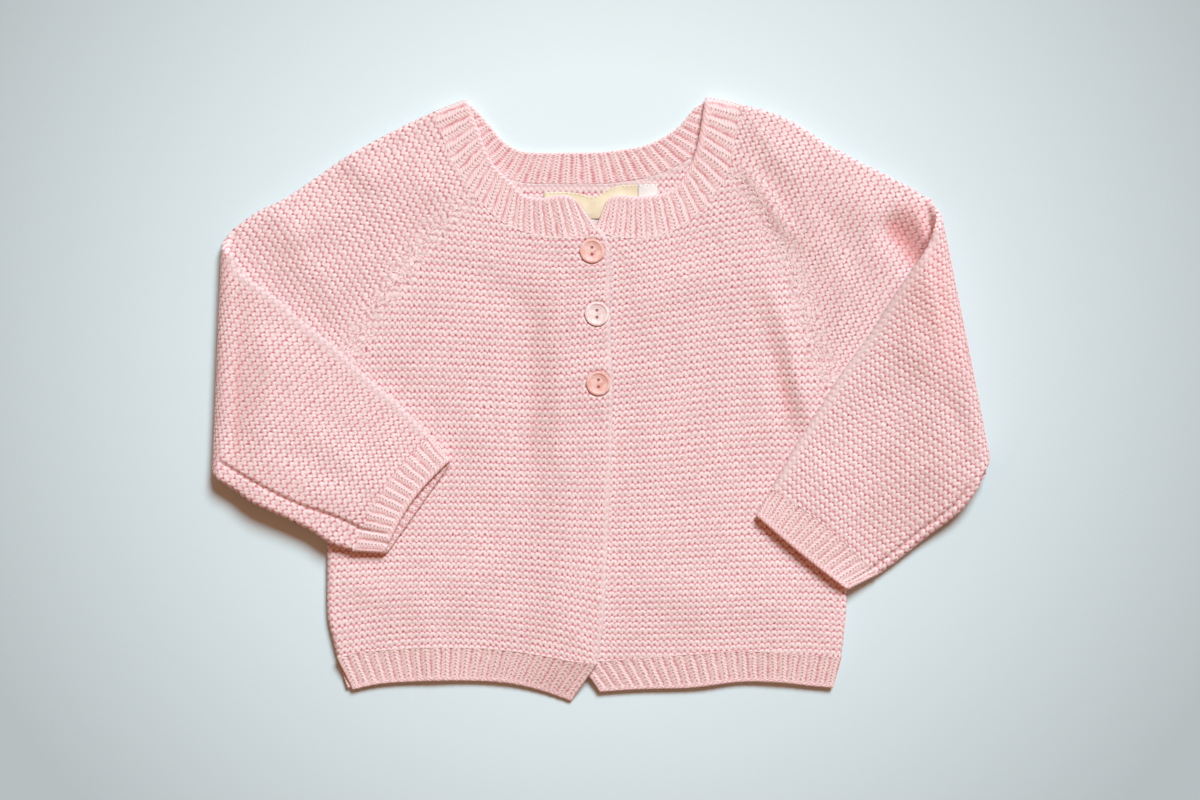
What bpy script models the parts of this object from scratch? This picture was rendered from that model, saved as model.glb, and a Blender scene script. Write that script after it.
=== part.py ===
"""Baby cardigan in garter stitch with 1x1 ribs, buttoned, laid flat, both sleeves folded over the fronts.

Tables are in millimetres. +Z points up from the surface that the back lies on, +Y towards the neck and
+X towards the wearer's left. The back rests on z = 0, the fronts lie on the back, and each sleeve is a
flattened tube that turns over at the elbow and comes back across its own upper arm and the front.
"""
import math

import bmesh
import bpy
from mathutils import Vector

MM = 0.001
MIDDLE_X, MIDDLE_Y = 0.225, 0.69    # middle of the whole cardigan in the tables' coordinates

# Cloth
WALL = 2.4              # thickness of the knit
LAYER_GAP = 0.9         # air between the back and what lies on it
SEAM_GAP = 0.3          # between two pieces along a seam
RIB_DEPTH = 0.7         # how far the purl columns of the 1x1 rib sink below the knit columns
RIB_PITCH = 5.8         # neck and hem, one knit and one purl column

# Heights of the layers
BACK_TOP = WALL
FRONT_BASE = WALL + LAYER_GAP
FRONT_TOP = FRONT_BASE + WALL
TUBE = FRONT_TOP                    # a flattened sleeve, both layers
ROLL = TUBE / 2                     # radius of the turned edge where two layers join
CORE = ROLL - WALL                  # the same inside the wall
ARM_TOP = FRONT_TOP + 0.5 + TUBE    # forearm, lying on the front
FOLD_TOP = 14.6                     # the sleeve's fold at the elbow stands higher
FOLD_SETTLES = 48.0                 # from the elbow to where the forearm lies flat
LAP_RISE = WALL + SEAM_GAP          # the right front climbs on to the left front
LAP_START, LAP_END = -29.0, -14.0   # x over which it climbs

# Seams
ROW_SPLIT = 0.92        # rows from the armpit reach the centre edge this much above their share of its length
LEFT_BAND_START = 0.042     # share of the left front's neck seam that the right band covers
BACK_SEAM_BLEND = 0.06  # share of the back's neck seam over which it runs into the shoulders
CUFF_GAP = 0.39         # between a sleeve and its cuff, more than elsewhere as the seam is bowed
BAND_MEASURE_STEPS = 40
CLOTH_SHARP = 50.0      # degrees from which the cloth's edges are sharp

ROLL_ANGLES = (30.0, 60.0, 90.0)    # of the half of a turned edge that a panel owns
TUBE_ANGLES = (45.0, 90.0, 135.0)   # of the whole turned edge of a tube
RIB_PROFILE = ((0.0, 0.0), (0.32, 1.0), (0.68, 1.0))   # share of the pitch, share of the height

# Buttons
BUTTON_THICKNESS = 1.9
BUTTON_TOP = ((0.0, 0.75), (3.2, 0.75), (4.7, 0.45), (5.5, 0.0), (6.3, 0.1), (6.7, 0.6))   # radius, depth
BUTTON_UNDERSIDE = ((6.6, 0.5), (5.6, 0.0), (0.0, 0.0))   # radius, height over the underside
BUTTON_HOLE_RADIUS = 0.85
BUTTON_HOLE_SPACING = 3.8
BUTTON_HOLE_SIDES = 12
BUTTON_TURN_STEPS = 28
BUTTON_SHARP = 40.0     # degrees from which its edges are sharp
BUTTON_STAND = 0.2      # room for the thread between the cloth and the button
BUTTON_PRESS = 24.0     # distance over which a button holds the cloth down
BUTTON_PLACES = ((-4.9, 81.0), (-2.2, 46.8), (-1.4, 9.0))

# Labels: name, x from, x to, y of the top edge at each end, sag at the middle, y of the lower edge, colour
LABEL_THICKNESS = 0.3
LABEL_RISE = BACK_TOP + 0.28
LABEL_STEPS = 6
LABELS = (
    {"name": "label_main", "x": (-31.2, 19.8), "top": (113.2, 116.9), "sag": 3.4, "foot": 98.6,
     "colour": "label_cream"},
    {"name": "label_size", "x": (20.3, 30.6), "top": (117.0, 117.4), "sag": 0.0, "foot": 104.0,
     "colour": "label_white"},
    {"name": "label_care", "x": (-9.0, 5.0), "top": (98.1, 98.1), "sag": 0.0, "foot": 88.0,
     "colour": "label_white"},
)

# Creases and soft rolls of the cloth. Middle x, y, heading in degrees, half length, half width, height.
PUFF = {"right_front": 0.9, "left_front": 0.9, "right_upper": 1.4, "left_upper": 2.2,
        "right_lower": 1.2, "left_lower": 1.2}
PUFF_REACH = 26.0       # from a seam or from what lies on the piece to full height
CREASES = {
    "right_front": ((-40.0, 20.0, 84.0, 60.0, 10.0, 0.9), (-95.0, -100.0, 8.0, 42.0, 12.0, 0.8),
                    (-60.0, 62.0, 150.0, 30.0, 9.0, -0.6)),
    "left_front": ((104.0, 20.0, 96.0, 46.0, 9.0, -1.1), (88.0, 24.0, 94.0, 46.0, 8.0, 0.9),
                   (40.0, -104.0, -4.0, 48.0, 12.0, 0.8), (44.0, 60.0, 24.0, 28.0, 9.0, 0.6)),
    "right_upper": ((-172.0, 84.0, -44.0, 30.0, 8.0, 0.5), (-132.0, 96.0, 62.0, 36.0, 9.0, -0.7),
                    (-112.0, 118.0, 60.0, 26.0, 8.0, 0.8)),
    "left_upper": ((146.0, 96.0, -68.0, 30.0, 10.0, 0.7), (126.0, 96.0, -52.0, 34.0, 8.0, -0.6),
                   (104.0, 122.0, -58.0, 26.0, 8.0, 0.5)),
    "right_lower": ((-180.0, -2.0, 82.0, 40.0, 11.0, 1.2), (-140.0, -30.0, -36.0, 40.0, 10.0, 0.9),
                    (-186.0, 46.0, -30.0, 22.0, 8.0, -0.8)),
    "left_lower": ((182.0, 6.0, -72.0, 44.0, 11.0, 1.3), (146.0, -30.0, 40.0, 36.0, 10.0, 0.8),
                   (168.0, 52.0, -58.0, 26.0, 8.0, -0.8)),
}

# How many steps each stretch of a panel has
NECK_STEPS, RAGLAN_STEPS, SIDE_STEPS, PANEL_STEPS = 4, 10, 7, 12
BACK_STEPS = 14
UPPER_STEPS, FOLD_STEPS, LOWER_STEPS = 8, 6, 9
CROWDING = 1.4          # power by which a sleeve's sections close up towards the elbow

COLOURS = {     # colour, roughness
    "yarn": ((0.86, 0.52, 0.50), 0.92),
    "yarn_rib": ((0.87, 0.55, 0.53), 0.92),
    "button": ((0.87, 0.38, 0.33), 0.28),
    "label_cream": ((0.86, 0.80, 0.62), 0.70),
    "label_white": ((0.90, 0.90, 0.90), 0.70),
}


class Path:
    """A smooth curve in plan through a few points, read by its share of length from 0 to 1."""

    def __init__(self, *points, steps=12):
        knots = [Vector(p) for p in points]
        lengths = [(b - a).length for a, b in zip(knots, knots[1:])]
        slopes = [(knots[1] - knots[0]) / lengths[0]]
        for i in range(1, len(knots) - 1):
            slopes.append((knots[i + 1] - knots[i - 1]) / (lengths[i] + lengths[i - 1]))
        slopes.append((knots[-1] - knots[-2]) / lengths[-1])
        self.dense = [knots[0]]
        for i, span in enumerate(lengths):
            for k in range(1, steps + 1):
                t = k / steps
                self.dense.append(
                    knots[i] * (2 * t**3 - 3 * t**2 + 1) + slopes[i] * span * (t**3 - 2 * t**2 + t)
                    + knots[i + 1] * (3 * t**2 - 2 * t**3) + slopes[i + 1] * span * (t**3 - t**2))
        self.marks = [0.0]
        for a, b in zip(self.dense, self.dense[1:]):
            self.marks.append(self.marks[-1] + (b - a).length)
        self.length = self.marks[-1]

    def at(self, share):
        goal = min(max(share, 0.0), 1.0) * self.length
        k = 1
        while k < len(self.marks) - 1 and self.marks[k] < goal:
            k += 1
        t = (goal - self.marks[k - 1]) / (self.marks[k] - self.marks[k - 1])
        return self.dense[k - 1].lerp(self.dense[k], t)

    def left(self, share):
        """Unit vector to the left of the direction of travel."""
        along = (self.at(share + 0.01) - self.at(share - 0.01)).normalized()
        return Vector((-along.y, along.x))

    def points(self, steps, shift=0.0):
        """steps + 1 points, moved to the left of travel by shift."""
        return [self.at(i / steps) + self.left(i / steps) * shift for i in range(steps + 1)]


# Outlines in plan. "right" and "left" are the wearer's, so the right half has the smaller x.
NECK_CENTRE = {"right": Path((-1.8, 94.2), (-6.2, 91.0), (-12.5, 88.2), (-22.5, 88.4), (-33.2, 89.5),
                             (-47.7, 94.0), (-58.2, 100.6), (-68.5, 111.5)),
               "left": Path((-6.4, 95.8), (-3.4, 94.2), (0.8, 91.4), (7.0, 89.2), (15.8, 88.3),
                            (27.0, 89.0), (36.2, 91.2), (44.1, 94.9), (55.7, 104.8), (64.6, 116.0),
                            (69.5, 124.0))}
NECK_SLEEVE = {"right": Path((-68.5, 111.5), (-76.2, 122.9), (-82.6, 134.5), (-87.4, 147.0), (-90.3, 157.6)),
               "left": Path((69.5, 124.0), (71.8, 136.5), (74.4, 150.0), (76.0, 161.2))}
NECK_SLEEVE_BACK = {"right": Path((-61.0, 127.0), (-73.0, 138.0), (-84.0, 149.0), (-90.3, 157.6)),
                    "left": Path((52.0, 133.5), (60.0, 142.0), (69.0, 152.5), (76.0, 161.2))}
NECK_BACK = Path((-61.0, 127.0), (-53.0, 121.6), (-42.0, 118.0), (-26.0, 117.4), (0.0, 117.4),
                 (12.0, 118.6), (25.6, 121.0), (39.0, 126.0), (52.0, 133.5))
RAGLAN_FRONT = {"right": Path((-68.5, 111.5), (-91.4, 92.5), (-107.2, 71.8), (-124.0, 46.5),
                              (-132.6, 33.6), (-147.4, 1.0)),
                "left": Path((69.5, 124.0), (84.9, 111.0), (93.6, 91.7), (101.7, 76.0), (108.8, 58.4),
                             (114.6, 37.0), (130.0, 0.0))}
RAGLAN_BACK = {"right": Path((-61.0, 127.0), (-88.0, 99.0), (-118.0, 56.0), (-147.4, 1.0)),
               "left": Path((52.0, 133.5), (79.0, 104.0), (106.0, 58.0), (130.0, 0.0))}
SIDE = {"right": Path((-147.4, 1.0), (-149.1, -40.0), (-149.1, -90.0), (-148.9, -117.0),
                      (-146.9, -127.3), (-143.6, -140.6)),
        "left": Path((130.0, 0.0), (132.4, -50.0), (133.8, -106.8), (132.7, -123.5), (130.7, -140.6))}
CENTRE = {"right": Path((-1.8, 94.2), (1.2, 91.0), (3.6, 86.0), (4.7, 79.0), (4.7, 42.0), (5.9, 6.0),
                        (5.8, -25.0), (4.2, -58.0), (3.2, -84.0), (2.0, -110.0), (0.6, -126.0),
                        (-2.4, -143.6)),
          "left": Path((-6.4, 95.8), (-6.8, 30.0), (-7.0, -60.0), (-8.0, -110.0), (-12.2, -142.2))}
HEM_TOP = {"right": Path((-2.4, -143.6), (-14.0, -142.6), (-30.0, -139.6), (-49.0, -136.8),
                         (-69.6, -135.2), (-100.0, -135.2), (-118.0, -136.4), (-131.0, -137.4),
                         (-143.6, -140.6)),
           "left": Path((-12.2, -142.2), (6.0, -142.0), (21.0, -140.8), (50.0, -138.6), (76.7, -137.0),
                        (108.0, -138.6), (130.7, -140.6))}
HEM_FOOT = {"right": Path((-16.4, -164.0), (-33.2, -158.2), (-49.0, -154.6), (-69.6, -153.0),
                          (-100.6, -153.4), (-121.0, -154.8), (-135.2, -157.8)),
            "left": Path((-0.6, -159.0), (21.2, -157.6), (49.5, -156.8), (76.7, -153.6), (97.4, -154.1),
                         (113.0, -155.7), (126.2, -156.9))}
HEM_TOP_BACK = Path((-143.6, -140.6), (-131.0, -137.4), (-118.0, -136.4), (-69.6, -135.6), (0.0, -136.4),
                    (76.7, -137.0), (108.0, -138.6), (130.7, -140.6))
HEM_FOOT_BACK = Path((-138.0, -157.2), (-124.0, -152.6), (-100.0, -150.8), (-3.8, -151.2), (76.7, -151.6),
                     (110.0, -153.6), (126.4, -155.6))
COLLAR_FREE = {"right": Path((-12.2, 106.6), (-15.6, 110.2), (-21.6, 111.6), (-32.1, 110.0),
                             (-42.4, 111.9), (-48.8, 118.8), (-56.6, 126.0), (-60.9, 132.4),
                             (-64.0, 140.0), (-67.2, 148.6), (-72.4, 161.4)),
               "left": Path((3.0, 108.6), (6.4, 111.0), (12.0, 111.4), (20.4, 110.9), (31.0, 112.0),
                            (40.2, 115.4), (45.6, 122.4), (50.0, 131.0), (52.6, 140.0), (54.4, 150.0),
                            (56.4, 162.6))}
COLLAR_FREE_BACK = Path((-72.4, 161.4), (-69.6, 159.6), (-61.5, 150.8), (-55.4, 143.4), (-49.7, 138.4),
                        (-41.0, 135.3), (-19.6, 135.0), (-0.5, 135.2), (13.8, 136.9), (23.2, 138.6),
                        (33.6, 143.1), (42.0, 149.0), (50.7, 158.8), (56.4, 162.6))

# Sleeves. top is the fold above the arm and under is the fold at the underarm seam. The forearm's table
# runs from the elbow to where the cuff begins. elbow is the outermost line of the fold at the elbow.
SLEEVES = {
    "right": {
        "elbow": ((-206.3, 92.0), (-211.3, -34.0)),
        "upper_top": Path((-90.3, 157.6), (-114.8, 145.8), (-136.5, 134.0), (-154.2, 122.2),
                          (-171.9, 110.0), (-182.2, 105.2), (-190.9, 100.2), (-199.2, 94.0)),
        "upper_under": Path((-147.4, 1.0), (-176.0, -19.0), (-204.0, -36.0)),
        "lower_top": Path((-200.0, 79.0), (-196.0, 70.5), (-175.7, 55.5), (-163.7, 44.6),
                          (-145.2, 29.9), (-127.3, 13.1), (-108.8, -2.7), (-92.8, -19.2)),
        "lower_under": Path((-204.6, -45.8), (-199.8, -48.8), (-189.9, -55.7), (-171.5, -64.2),
                            (-157.3, -71.3), (-148.0, -77.6), (-134.6, -82.3)),
        "cuff_bow": (-4.4, 2.6),
        "cuff_edge": ((-80.8, -33.0), (-116.8, -84.0)),
        "cuff_step": 5.0,
        "ribs": 13,
    },
    "left": {
        "elbow": ((185.4, 99.0), (211.3, -30.0)),
        "upper_top": Path((76.0, 161.2), (91.9, 157.1), (102.8, 152.6), (112.3, 147.0), (121.9, 140.3),
                          (140.9, 129.9), (162.7, 119.0), (171.4, 114.0), (177.2, 109.6)),
        "upper_under": Path((130.0, 0.0), (166.0, -15.0), (203.8, -30.0)),
        "lower_top": Path((180.0, 92.0), (177.0, 83.6), (168.9, 71.3), (159.4, 57.1), (145.8, 35.4),
                          (132.2, 16.9), (120.2, -2.2), (106.6, -23.2), (92.4, -48.5)),
        "lower_under": Path((205.0, -44.8), (202.2, -50.0), (195.4, -60.2), (174.6, -76.8),
                            (160.5, -88.2), (150.2, -95.6)),
        "cuff_bow": (2.0, 2.6),
        "cuff_edge": ((84.0, -62.6), (134.2, -103.4)),
        "cuff_step": -1.0,
        "ribs": 14,
    },
}
CUFF_STEP_ENDS = 0.3    # share of the cuff's step that is left at its two ends


def smooth_step(value):
    t = min(max(value, 0.0), 1.0)
    return t * t * (3.0 - 2.0 * t)


def plan(point, height):
    return Vector((point.x - MIDDLE_X, point.y - MIDDLE_Y, height))


def unit(vector):
    return vector.normalized()


# Relief of the cloth

def distance_to_outline(point, outline):
    nearest = 1e9
    for a, b in zip(outline, outline[1:] + outline[:1]):
        edge = b - a
        if edge.length_squared < 1e-9:
            continue
        t = min(max((point - a).dot(edge) / edge.length_squared, 0.0), 1.0)
        nearest = min(nearest, (point - a - edge * t).length)
    return nearest


def is_inside(point, outline):
    inside = False
    for a, b in zip(outline, outline[1:] + outline[:1]):
        if (a.y > point.y) != (b.y > point.y):
            if point.x < a.x + (point.y - a.y) * (b.x - a.x) / (b.y - a.y):
                inside = not inside
    return inside


def relief(piece, point, outline):
    """Height of the soft rolls and creases, none at the seams and under what lies on the piece."""
    if not is_inside(point, outline):
        return 0.0
    height = PUFF[piece]
    for x, y, heading, half_length, half_width, rise in CREASES[piece]:
        away = point - Vector((x, y))
        angle = math.radians(heading)
        along = away.x * math.cos(angle) + away.y * math.sin(angle)
        across = away.y * math.cos(angle) - away.x * math.sin(angle)
        height += rise * math.exp(-((along / half_length) ** 4) - (across / half_width) ** 2)
    if piece == "right_front":
        for spot in BUTTON_PLACES:
            height *= smooth_step((point - Vector(spot)).length / BUTTON_PRESS)
    return max(height, 0.0) * smooth_step(distance_to_outline(point, outline) / PUFF_REACH)


def lap(x):
    """Rise of the right front and its neckband where they lie on the left front."""
    return LAP_RISE * smooth_step((x - LAP_START) / (LAP_END - LAP_START))


def arm_span(side):
    """Outline of the forearm and cuff, from the elbow's top round to its foot."""
    sleeve = SLEEVES[side]
    edge = [Vector(p) for p in sleeve["cuff_edge"]]
    return sleeve["lower_top"].points(8) + edge + sleeve["lower_under"].points(8)[::-1]


def cut_by(outline, cover):
    """The part of a closed outline that a cover leaves free, with the cover's edge across it."""
    free = [p for p in outline if not is_inside(p, cover)]
    start = min(range(len(free)), key=lambda i: -(free[i] - free[i - 1]).length)
    run = free[start:] + free[:start]
    inner = [p for p in cover if is_inside(p, outline)]
    if (inner[0] - run[-1]).length > (inner[-1] - run[-1]).length:
        inner.reverse()
    return run + inner


def front_outline(side):
    """Outline of what shows of a front. Both end at the right front's edge, which laps over the left."""
    return (NECK_CENTRE[side].points(10)[1:-1] + RAGLAN_FRONT[side].points(16)[:-1]
            + SIDE[side].points(16)[:-1] + HEM_TOP[side].points(10)[::-1][:-1]
            + CENTRE["right"].points(16)[::-1])


def upper_outline(side):
    sleeve = SLEEVES[side]
    return (NECK_SLEEVE[side].points(6)[::-1][:-1] + RAGLAN_FRONT[side].points(16)[:-1]
            + sleeve["upper_under"].points(6)[:-1] + sleeve["upper_top"].points(12)[::-1][:-1])


# Meshes

def new_object(name, mesh, colour):
    piece = bpy.data.objects.new(name, mesh)
    material = bpy.data.materials.get(colour) or bpy.data.materials.new(colour)
    material.use_nodes = True
    shader = material.node_tree.nodes["Principled BSDF"]
    shade, roughness = COLOURS[colour]
    shader.inputs["Base Color"].default_value = (*shade, 1.0)
    shader.inputs["Roughness"].default_value = roughness
    shader.inputs["Metallic"].default_value = 0.0
    mesh.materials.append(material)
    CARDIGAN.objects.link(piece)
    return piece


def wall(name, outer, inner, colour="yarn", ring=False):
    """A closed wall of cloth lofted through sections of points, outer and inner skins point for point."""
    bm = bmesh.new()
    skins = [[[bm.verts.new(p * MM) for p in section] for section in skin] for skin in (outer, inner)]
    count = len(outer[0])
    spans = [(j, (j + 1) % count) for j in range(count if ring else count - 1)]
    for skin in skins:
        for one, two in zip(skin, skin[1:]):
            for j, k in spans:
                bm.faces.new((one[j], one[k], two[k], two[j]))
    for end in (0, -1):
        for j, k in spans:
            bm.faces.new((skins[0][end][j], skins[0][end][k], skins[1][end][k], skins[1][end][j]))
    if not ring:
        for side in (0, -1):
            for i in range(len(outer) - 1):
                bm.faces.new((skins[0][i][side], skins[0][i + 1][side],
                              skins[1][i + 1][side], skins[1][i][side]))
    bmesh.ops.recalc_face_normals(bm, faces=bm.faces)
    mesh = bpy.data.meshes.new(name)
    bm.to_mesh(mesh)
    bm.free()
    mesh.shade_smooth()
    mesh.set_sharp_from_angle(angle=math.radians(CLOTH_SHARP))
    return new_object(name, mesh, colour)


def patch(first, last, left, right):
    """Rows of points that fill the space between four sides (a Coons patch). Rows run from left to right."""
    def shares(points):
        marks = [0.0]
        for a, b in zip(points, points[1:]):
            marks.append(marks[-1] + (b - a).length)
        return [m / marks[-1] for m in marks]

    across, down = shares(last), shares(left)
    rows = []
    for i, v in enumerate(down):
        row = []
        for j, u in enumerate(across):
            blend = first[j] * (1 - v) + last[j] * v + left[i] * (1 - u) + right[i] * u
            corners = (first[0] * (1 - u) * (1 - v) + first[-1] * u * (1 - v)
                       + last[0] * (1 - u) * v + last[-1] * u * v)
            row.append(blend - corners)
        rows.append(row)
    return rows


# Panels

def turned_edge(row, end, rolled, top_out, top_in, turn):
    """Outer and inner points of a row's last stretch, turned over by a quarter circle or left flat.

    turn is +1 for a front, whose edge goes down, and -1 for the back, whose edge comes up.
    """
    tip, before = row[end], row[end - 1] if end else row[1]
    out = unit(tip - before)
    root = tip - out * ROLL
    outer, inner = [plan(root, top_out)], [plan(root, top_in)]
    for degrees in ROLL_ANGLES:
        angle = math.radians(degrees)
        if not rolled:
            place = root + out * ROLL * math.sin(angle)
            outer.append(plan(place, top_out))
            inner.append(plan(place, top_in))
            continue
        middle = ROLL + turn * SEAM_GAP / 2
        reach = ROLL - SEAM_GAP / 2
        outer.append(plan(root + out * ROLL * math.sin(angle), middle + turn * reach * math.cos(angle)))
        inner.append(plan(root + out * CORE * math.sin(angle),
                          middle + turn * (reach - WALL) * math.cos(angle)))
    return outer, inner


def front(side):
    piece = f"{side}_front"
    fall = (RAGLAN_FRONT[side].length, SIDE[side].length)
    split = fall[0] / sum(fall) * ROW_SPLIT
    edge = RAGLAN_FRONT[side].points(RAGLAN_STEPS)[:-1] + SIDE[side].points(SIDE_STEPS)
    centre = ([CENTRE[side].at(split * i / RAGLAN_STEPS) for i in range(RAGLAN_STEPS)]
              + [CENTRE[side].at(split + (1 - split) * i / SIDE_STEPS) for i in range(SIDE_STEPS + 1)])
    rows = patch(NECK_CENTRE[side].points(PANEL_STEPS), HEM_TOP[side].points(PANEL_STEPS), centre, edge)
    free = cut_by(front_outline(side), arm_span(side))
    outer, inner = [], []
    for i, row in enumerate(rows):
        over, under = [], []
        for point in row[:-1]:
            base = FRONT_BASE + relief(piece, point, free) + (lap(point.x) if side == "right" else 0.0)
            over.append(plan(point, base + WALL))
            under.append(plan(point, base))
        edge_out, edge_in = turned_edge(row, -1, i >= RAGLAN_STEPS, FRONT_TOP, FRONT_BASE, 1)
        outer.append(over + edge_out)
        inner.append(under + edge_in)
    wall(piece, outer, inner)


def back():
    edges = {side: RAGLAN_BACK[side].points(RAGLAN_STEPS)[:-1] + SIDE[side].points(SIDE_STEPS)
             for side in ("right", "left")}
    rows = patch(NECK_BACK.points(BACK_STEPS), HEM_TOP_BACK.points(BACK_STEPS), edges["right"], edges["left"])
    outer, inner = [], []
    for i, row in enumerate(rows):
        rolled = i >= RAGLAN_STEPS
        right_out, right_in = turned_edge(row, 0, rolled, 0.0, BACK_TOP, -1)
        left_out, left_in = turned_edge(row, len(row) - 1, rolled, 0.0, BACK_TOP, -1)
        outer.append(right_out[::-1] + [plan(p, 0.0) for p in row[1:-1]] + left_out)
        inner.append(right_in[::-1] + [plan(p, BACK_TOP) for p in row[1:-1]] + left_in)
    wall("back_panel", outer, inner)


# Ribbed strips

def rib_shares(ribs):
    """Share of the strip's length and share of the rib's height, for every step of a 1x1 rib."""
    steps = [((k + share) / ribs, height) for k in range(ribs) for share, height in RIB_PROFILE]
    return steps + [(1.0, 0.0)]


def hem_front(side):
    top, foot = HEM_TOP[side], HEM_FOOT[side]
    ribs = round(top.length / RIB_PITCH)
    down = -1 if side == "left" else 1
    outer, inner = [], []
    for share, height in rib_shares(ribs):
        high = top.at(share) + top.left(share) * down * SEAM_GAP
        low = foot.at(share)
        lift = lap(high.x) if side == "right" else 0.0
        groove = RIB_DEPTH * (1 - height)
        outer.append([plan(high, FRONT_TOP + lift - groove), plan(low, FRONT_TOP + lift - groove)])
        inner.append([plan(high, FRONT_BASE + lift), plan(low, FRONT_BASE + lift)])
    wall(f"hem_rib_{side}_front", outer, inner, "yarn_rib")


def hem_back():
    outer, inner = [], []
    for i in range(BACK_STEPS + 1):
        share = i / BACK_STEPS
        high = HEM_TOP_BACK.at(share) - HEM_TOP_BACK.left(share) * SEAM_GAP
        low = HEM_FOOT_BACK.at(share)
        outer.append([plan(high, 0.0), plan(low, 0.0)])
        inner.append([plan(high, BACK_TOP), plan(low, BACK_TOP)])
    wall("hem_rib_back", outer, inner, "yarn_rib")


def neckband():
    outer, inner = [], []

    def stretch(sewn, free, backwards, out_top, in_top, ribs_outside):
        """Sections of one stretch. sewn and free give the two edges at a share of the length."""
        marks = [sewn(i / BAND_MEASURE_STEPS) for i in range(BAND_MEASURE_STEPS + 1)]
        length = sum((b - a).length for a, b in zip(marks, marks[1:]))
        steps = rib_shares(round(length / RIB_PITCH))
        for share, height in (steps[::-1] if backwards else steps):
            edges = (sewn(share), free(share))
            groove = RIB_DEPTH * (1 - height)
            outer.append([plan(p, out_top(p) - (groove if ribs_outside else 0.0)) for p in edges])
            inner.append([plan(p, in_top(p) - (0.0 if ribs_outside else groove)) for p in edges])

    def sewn_front(side):
        """Both seams of the front stretch in one, centre to shoulder, moved off the panels."""
        centre, sleeve = NECK_CENTRE[side], NECK_SLEEVE[side]
        start = 0.0 if side == "right" else LEFT_BAND_START
        total = centre.length * (1 - start) + sleeve.length - ROLL
        turn = -1 if side == "right" else 1

        def at(share):
            run = share * total
            rest = centre.length * (1 - start)
            if run <= rest:
                part = start + run / centre.length
                return centre.at(part) + centre.left(part) * turn * SEAM_GAP
            part = (run - rest) / sleeve.length
            return sleeve.at(part) + sleeve.left(part) * turn * SEAM_GAP
        return at

    def shoulder(side, degrees):
        """Section on the turned edge at the shoulder, where the band passes from front to back."""
        sewn, free = sewn_front(side)(1.0), COLLAR_FREE[side].at(1.0)
        line = unit(free - sewn)
        out = Vector((-line.y, line.x)) if side == "right" else Vector((line.y, -line.x))
        angle = math.radians(degrees)
        outer.append([plan(p + out * ROLL * math.sin(angle), ROLL + ROLL * math.cos(angle))
                      for p in (sewn, free)])
        inner.append([plan(p + out * CORE * math.sin(angle), ROLL + CORE * math.cos(angle))
                      for p in (sewn, free)])

    def sewn_back(share):
        """Right shoulder to left shoulder along the back of the neck."""
        parts = (NECK_SLEEVE_BACK["right"], NECK_BACK, NECK_SLEEVE_BACK["left"])
        ends = sewn_front("right")(1.0), sewn_front("left")(1.0)
        lengths = [parts[0].length, parts[1].length, parts[2].length]
        run = share * sum(lengths)
        if run < lengths[0]:
            part = 1 - run / lengths[0]
            point = parts[0].at(part) - parts[0].left(part) * SEAM_GAP
        elif run <= lengths[0] + lengths[1]:
            part = (run - lengths[0]) / lengths[1]
            point = parts[1].at(part) + parts[1].left(part) * SEAM_GAP
        else:
            part = (run - lengths[0] - lengths[1]) / lengths[2]
            point = parts[2].at(part) + parts[2].left(part) * SEAM_GAP
        if share < BACK_SEAM_BLEND:
            return ends[0].lerp(point, share / BACK_SEAM_BLEND)
        if share > 1 - BACK_SEAM_BLEND:
            return ends[1].lerp(point, (1 - share) / BACK_SEAM_BLEND)
        return point

    stretch(sewn_front("right"), COLLAR_FREE["right"].at, False, lambda p: FRONT_TOP + lap(p.x),
            lambda p: FRONT_BASE + lap(p.x), True)
    for degrees in TUBE_ANGLES:
        shoulder("right", degrees)
    stretch(sewn_back, COLLAR_FREE_BACK.at, False, lambda p: 0.0, lambda p: BACK_TOP, False)
    for degrees in TUBE_ANGLES[::-1]:
        shoulder("left", degrees)
    stretch(sewn_front("left"), COLLAR_FREE["left"].at, True, lambda p: FRONT_TOP,
            lambda p: FRONT_BASE, True)
    wall("neckband", outer, inner, "yarn_rib")


# Sleeves

class Elbow:
    """Places points of a flattened sleeve before, in and after the fold at the elbow."""

    def __init__(self, side):
        high, low = (Vector(p) for p in SLEEVES[side]["elbow"])
        line = unit(low - high)
        self.out = Vector((line.y, -line.x)) if side == "right" else Vector((-line.y, line.x))
        self.high = high - self.out * FOLD_TOP / 2
        self.line = line

    def on_axis(self, point):
        return self.high + self.line * (point - self.high).dot(self.line)

    def upper(self, point, depth):
        return plan(point, depth)

    def bend(self, point, depth, share):
        radius = FOLD_TOP / 2 - depth
        angle = math.pi * share
        return plan(point + self.out * radius * math.sin(angle), FOLD_TOP / 2 - radius * math.cos(angle))

    def lower(self, point, depth):
        inward = -(point - self.high).dot(self.out)
        top = ARM_TOP + (FOLD_TOP - ARM_TOP) * (1 - smooth_step(inward / FOLD_SETTLES))
        return plan(point, top - depth)


def tube_ring(top_row, under_row, out_top, out_under, place):
    """Outer and inner points round a flattened tube.

    top_row and under_row are the two layers in plan, from the arm's upper fold to the underarm fold, and
    out_top and out_under point out of the tube there. place(point, depth, layer) gives the 3-D point.
    """
    rings = []
    for radius, skin in ((ROLL, 0.0), (CORE, WALL)):
        ring = [place(p, TUBE - skin, "high") for p in top_row]
        for degrees in TUBE_ANGLES:
            angle = math.radians(degrees)
            ring.append(place(top_row[-1] + out_under * radius * math.sin(angle),
                              ROLL + radius * math.cos(angle), "edge"))
        ring += [place(p, skin, "low") for p in under_row[::-1]]
        for degrees in TUBE_ANGLES[::-1]:
            angle = math.radians(degrees)
            ring.append(place(top_row[0] + out_top * radius * math.sin(angle),
                              ROLL + radius * math.cos(angle), "edge"))
        rings.append(ring)
    return rings


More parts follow.
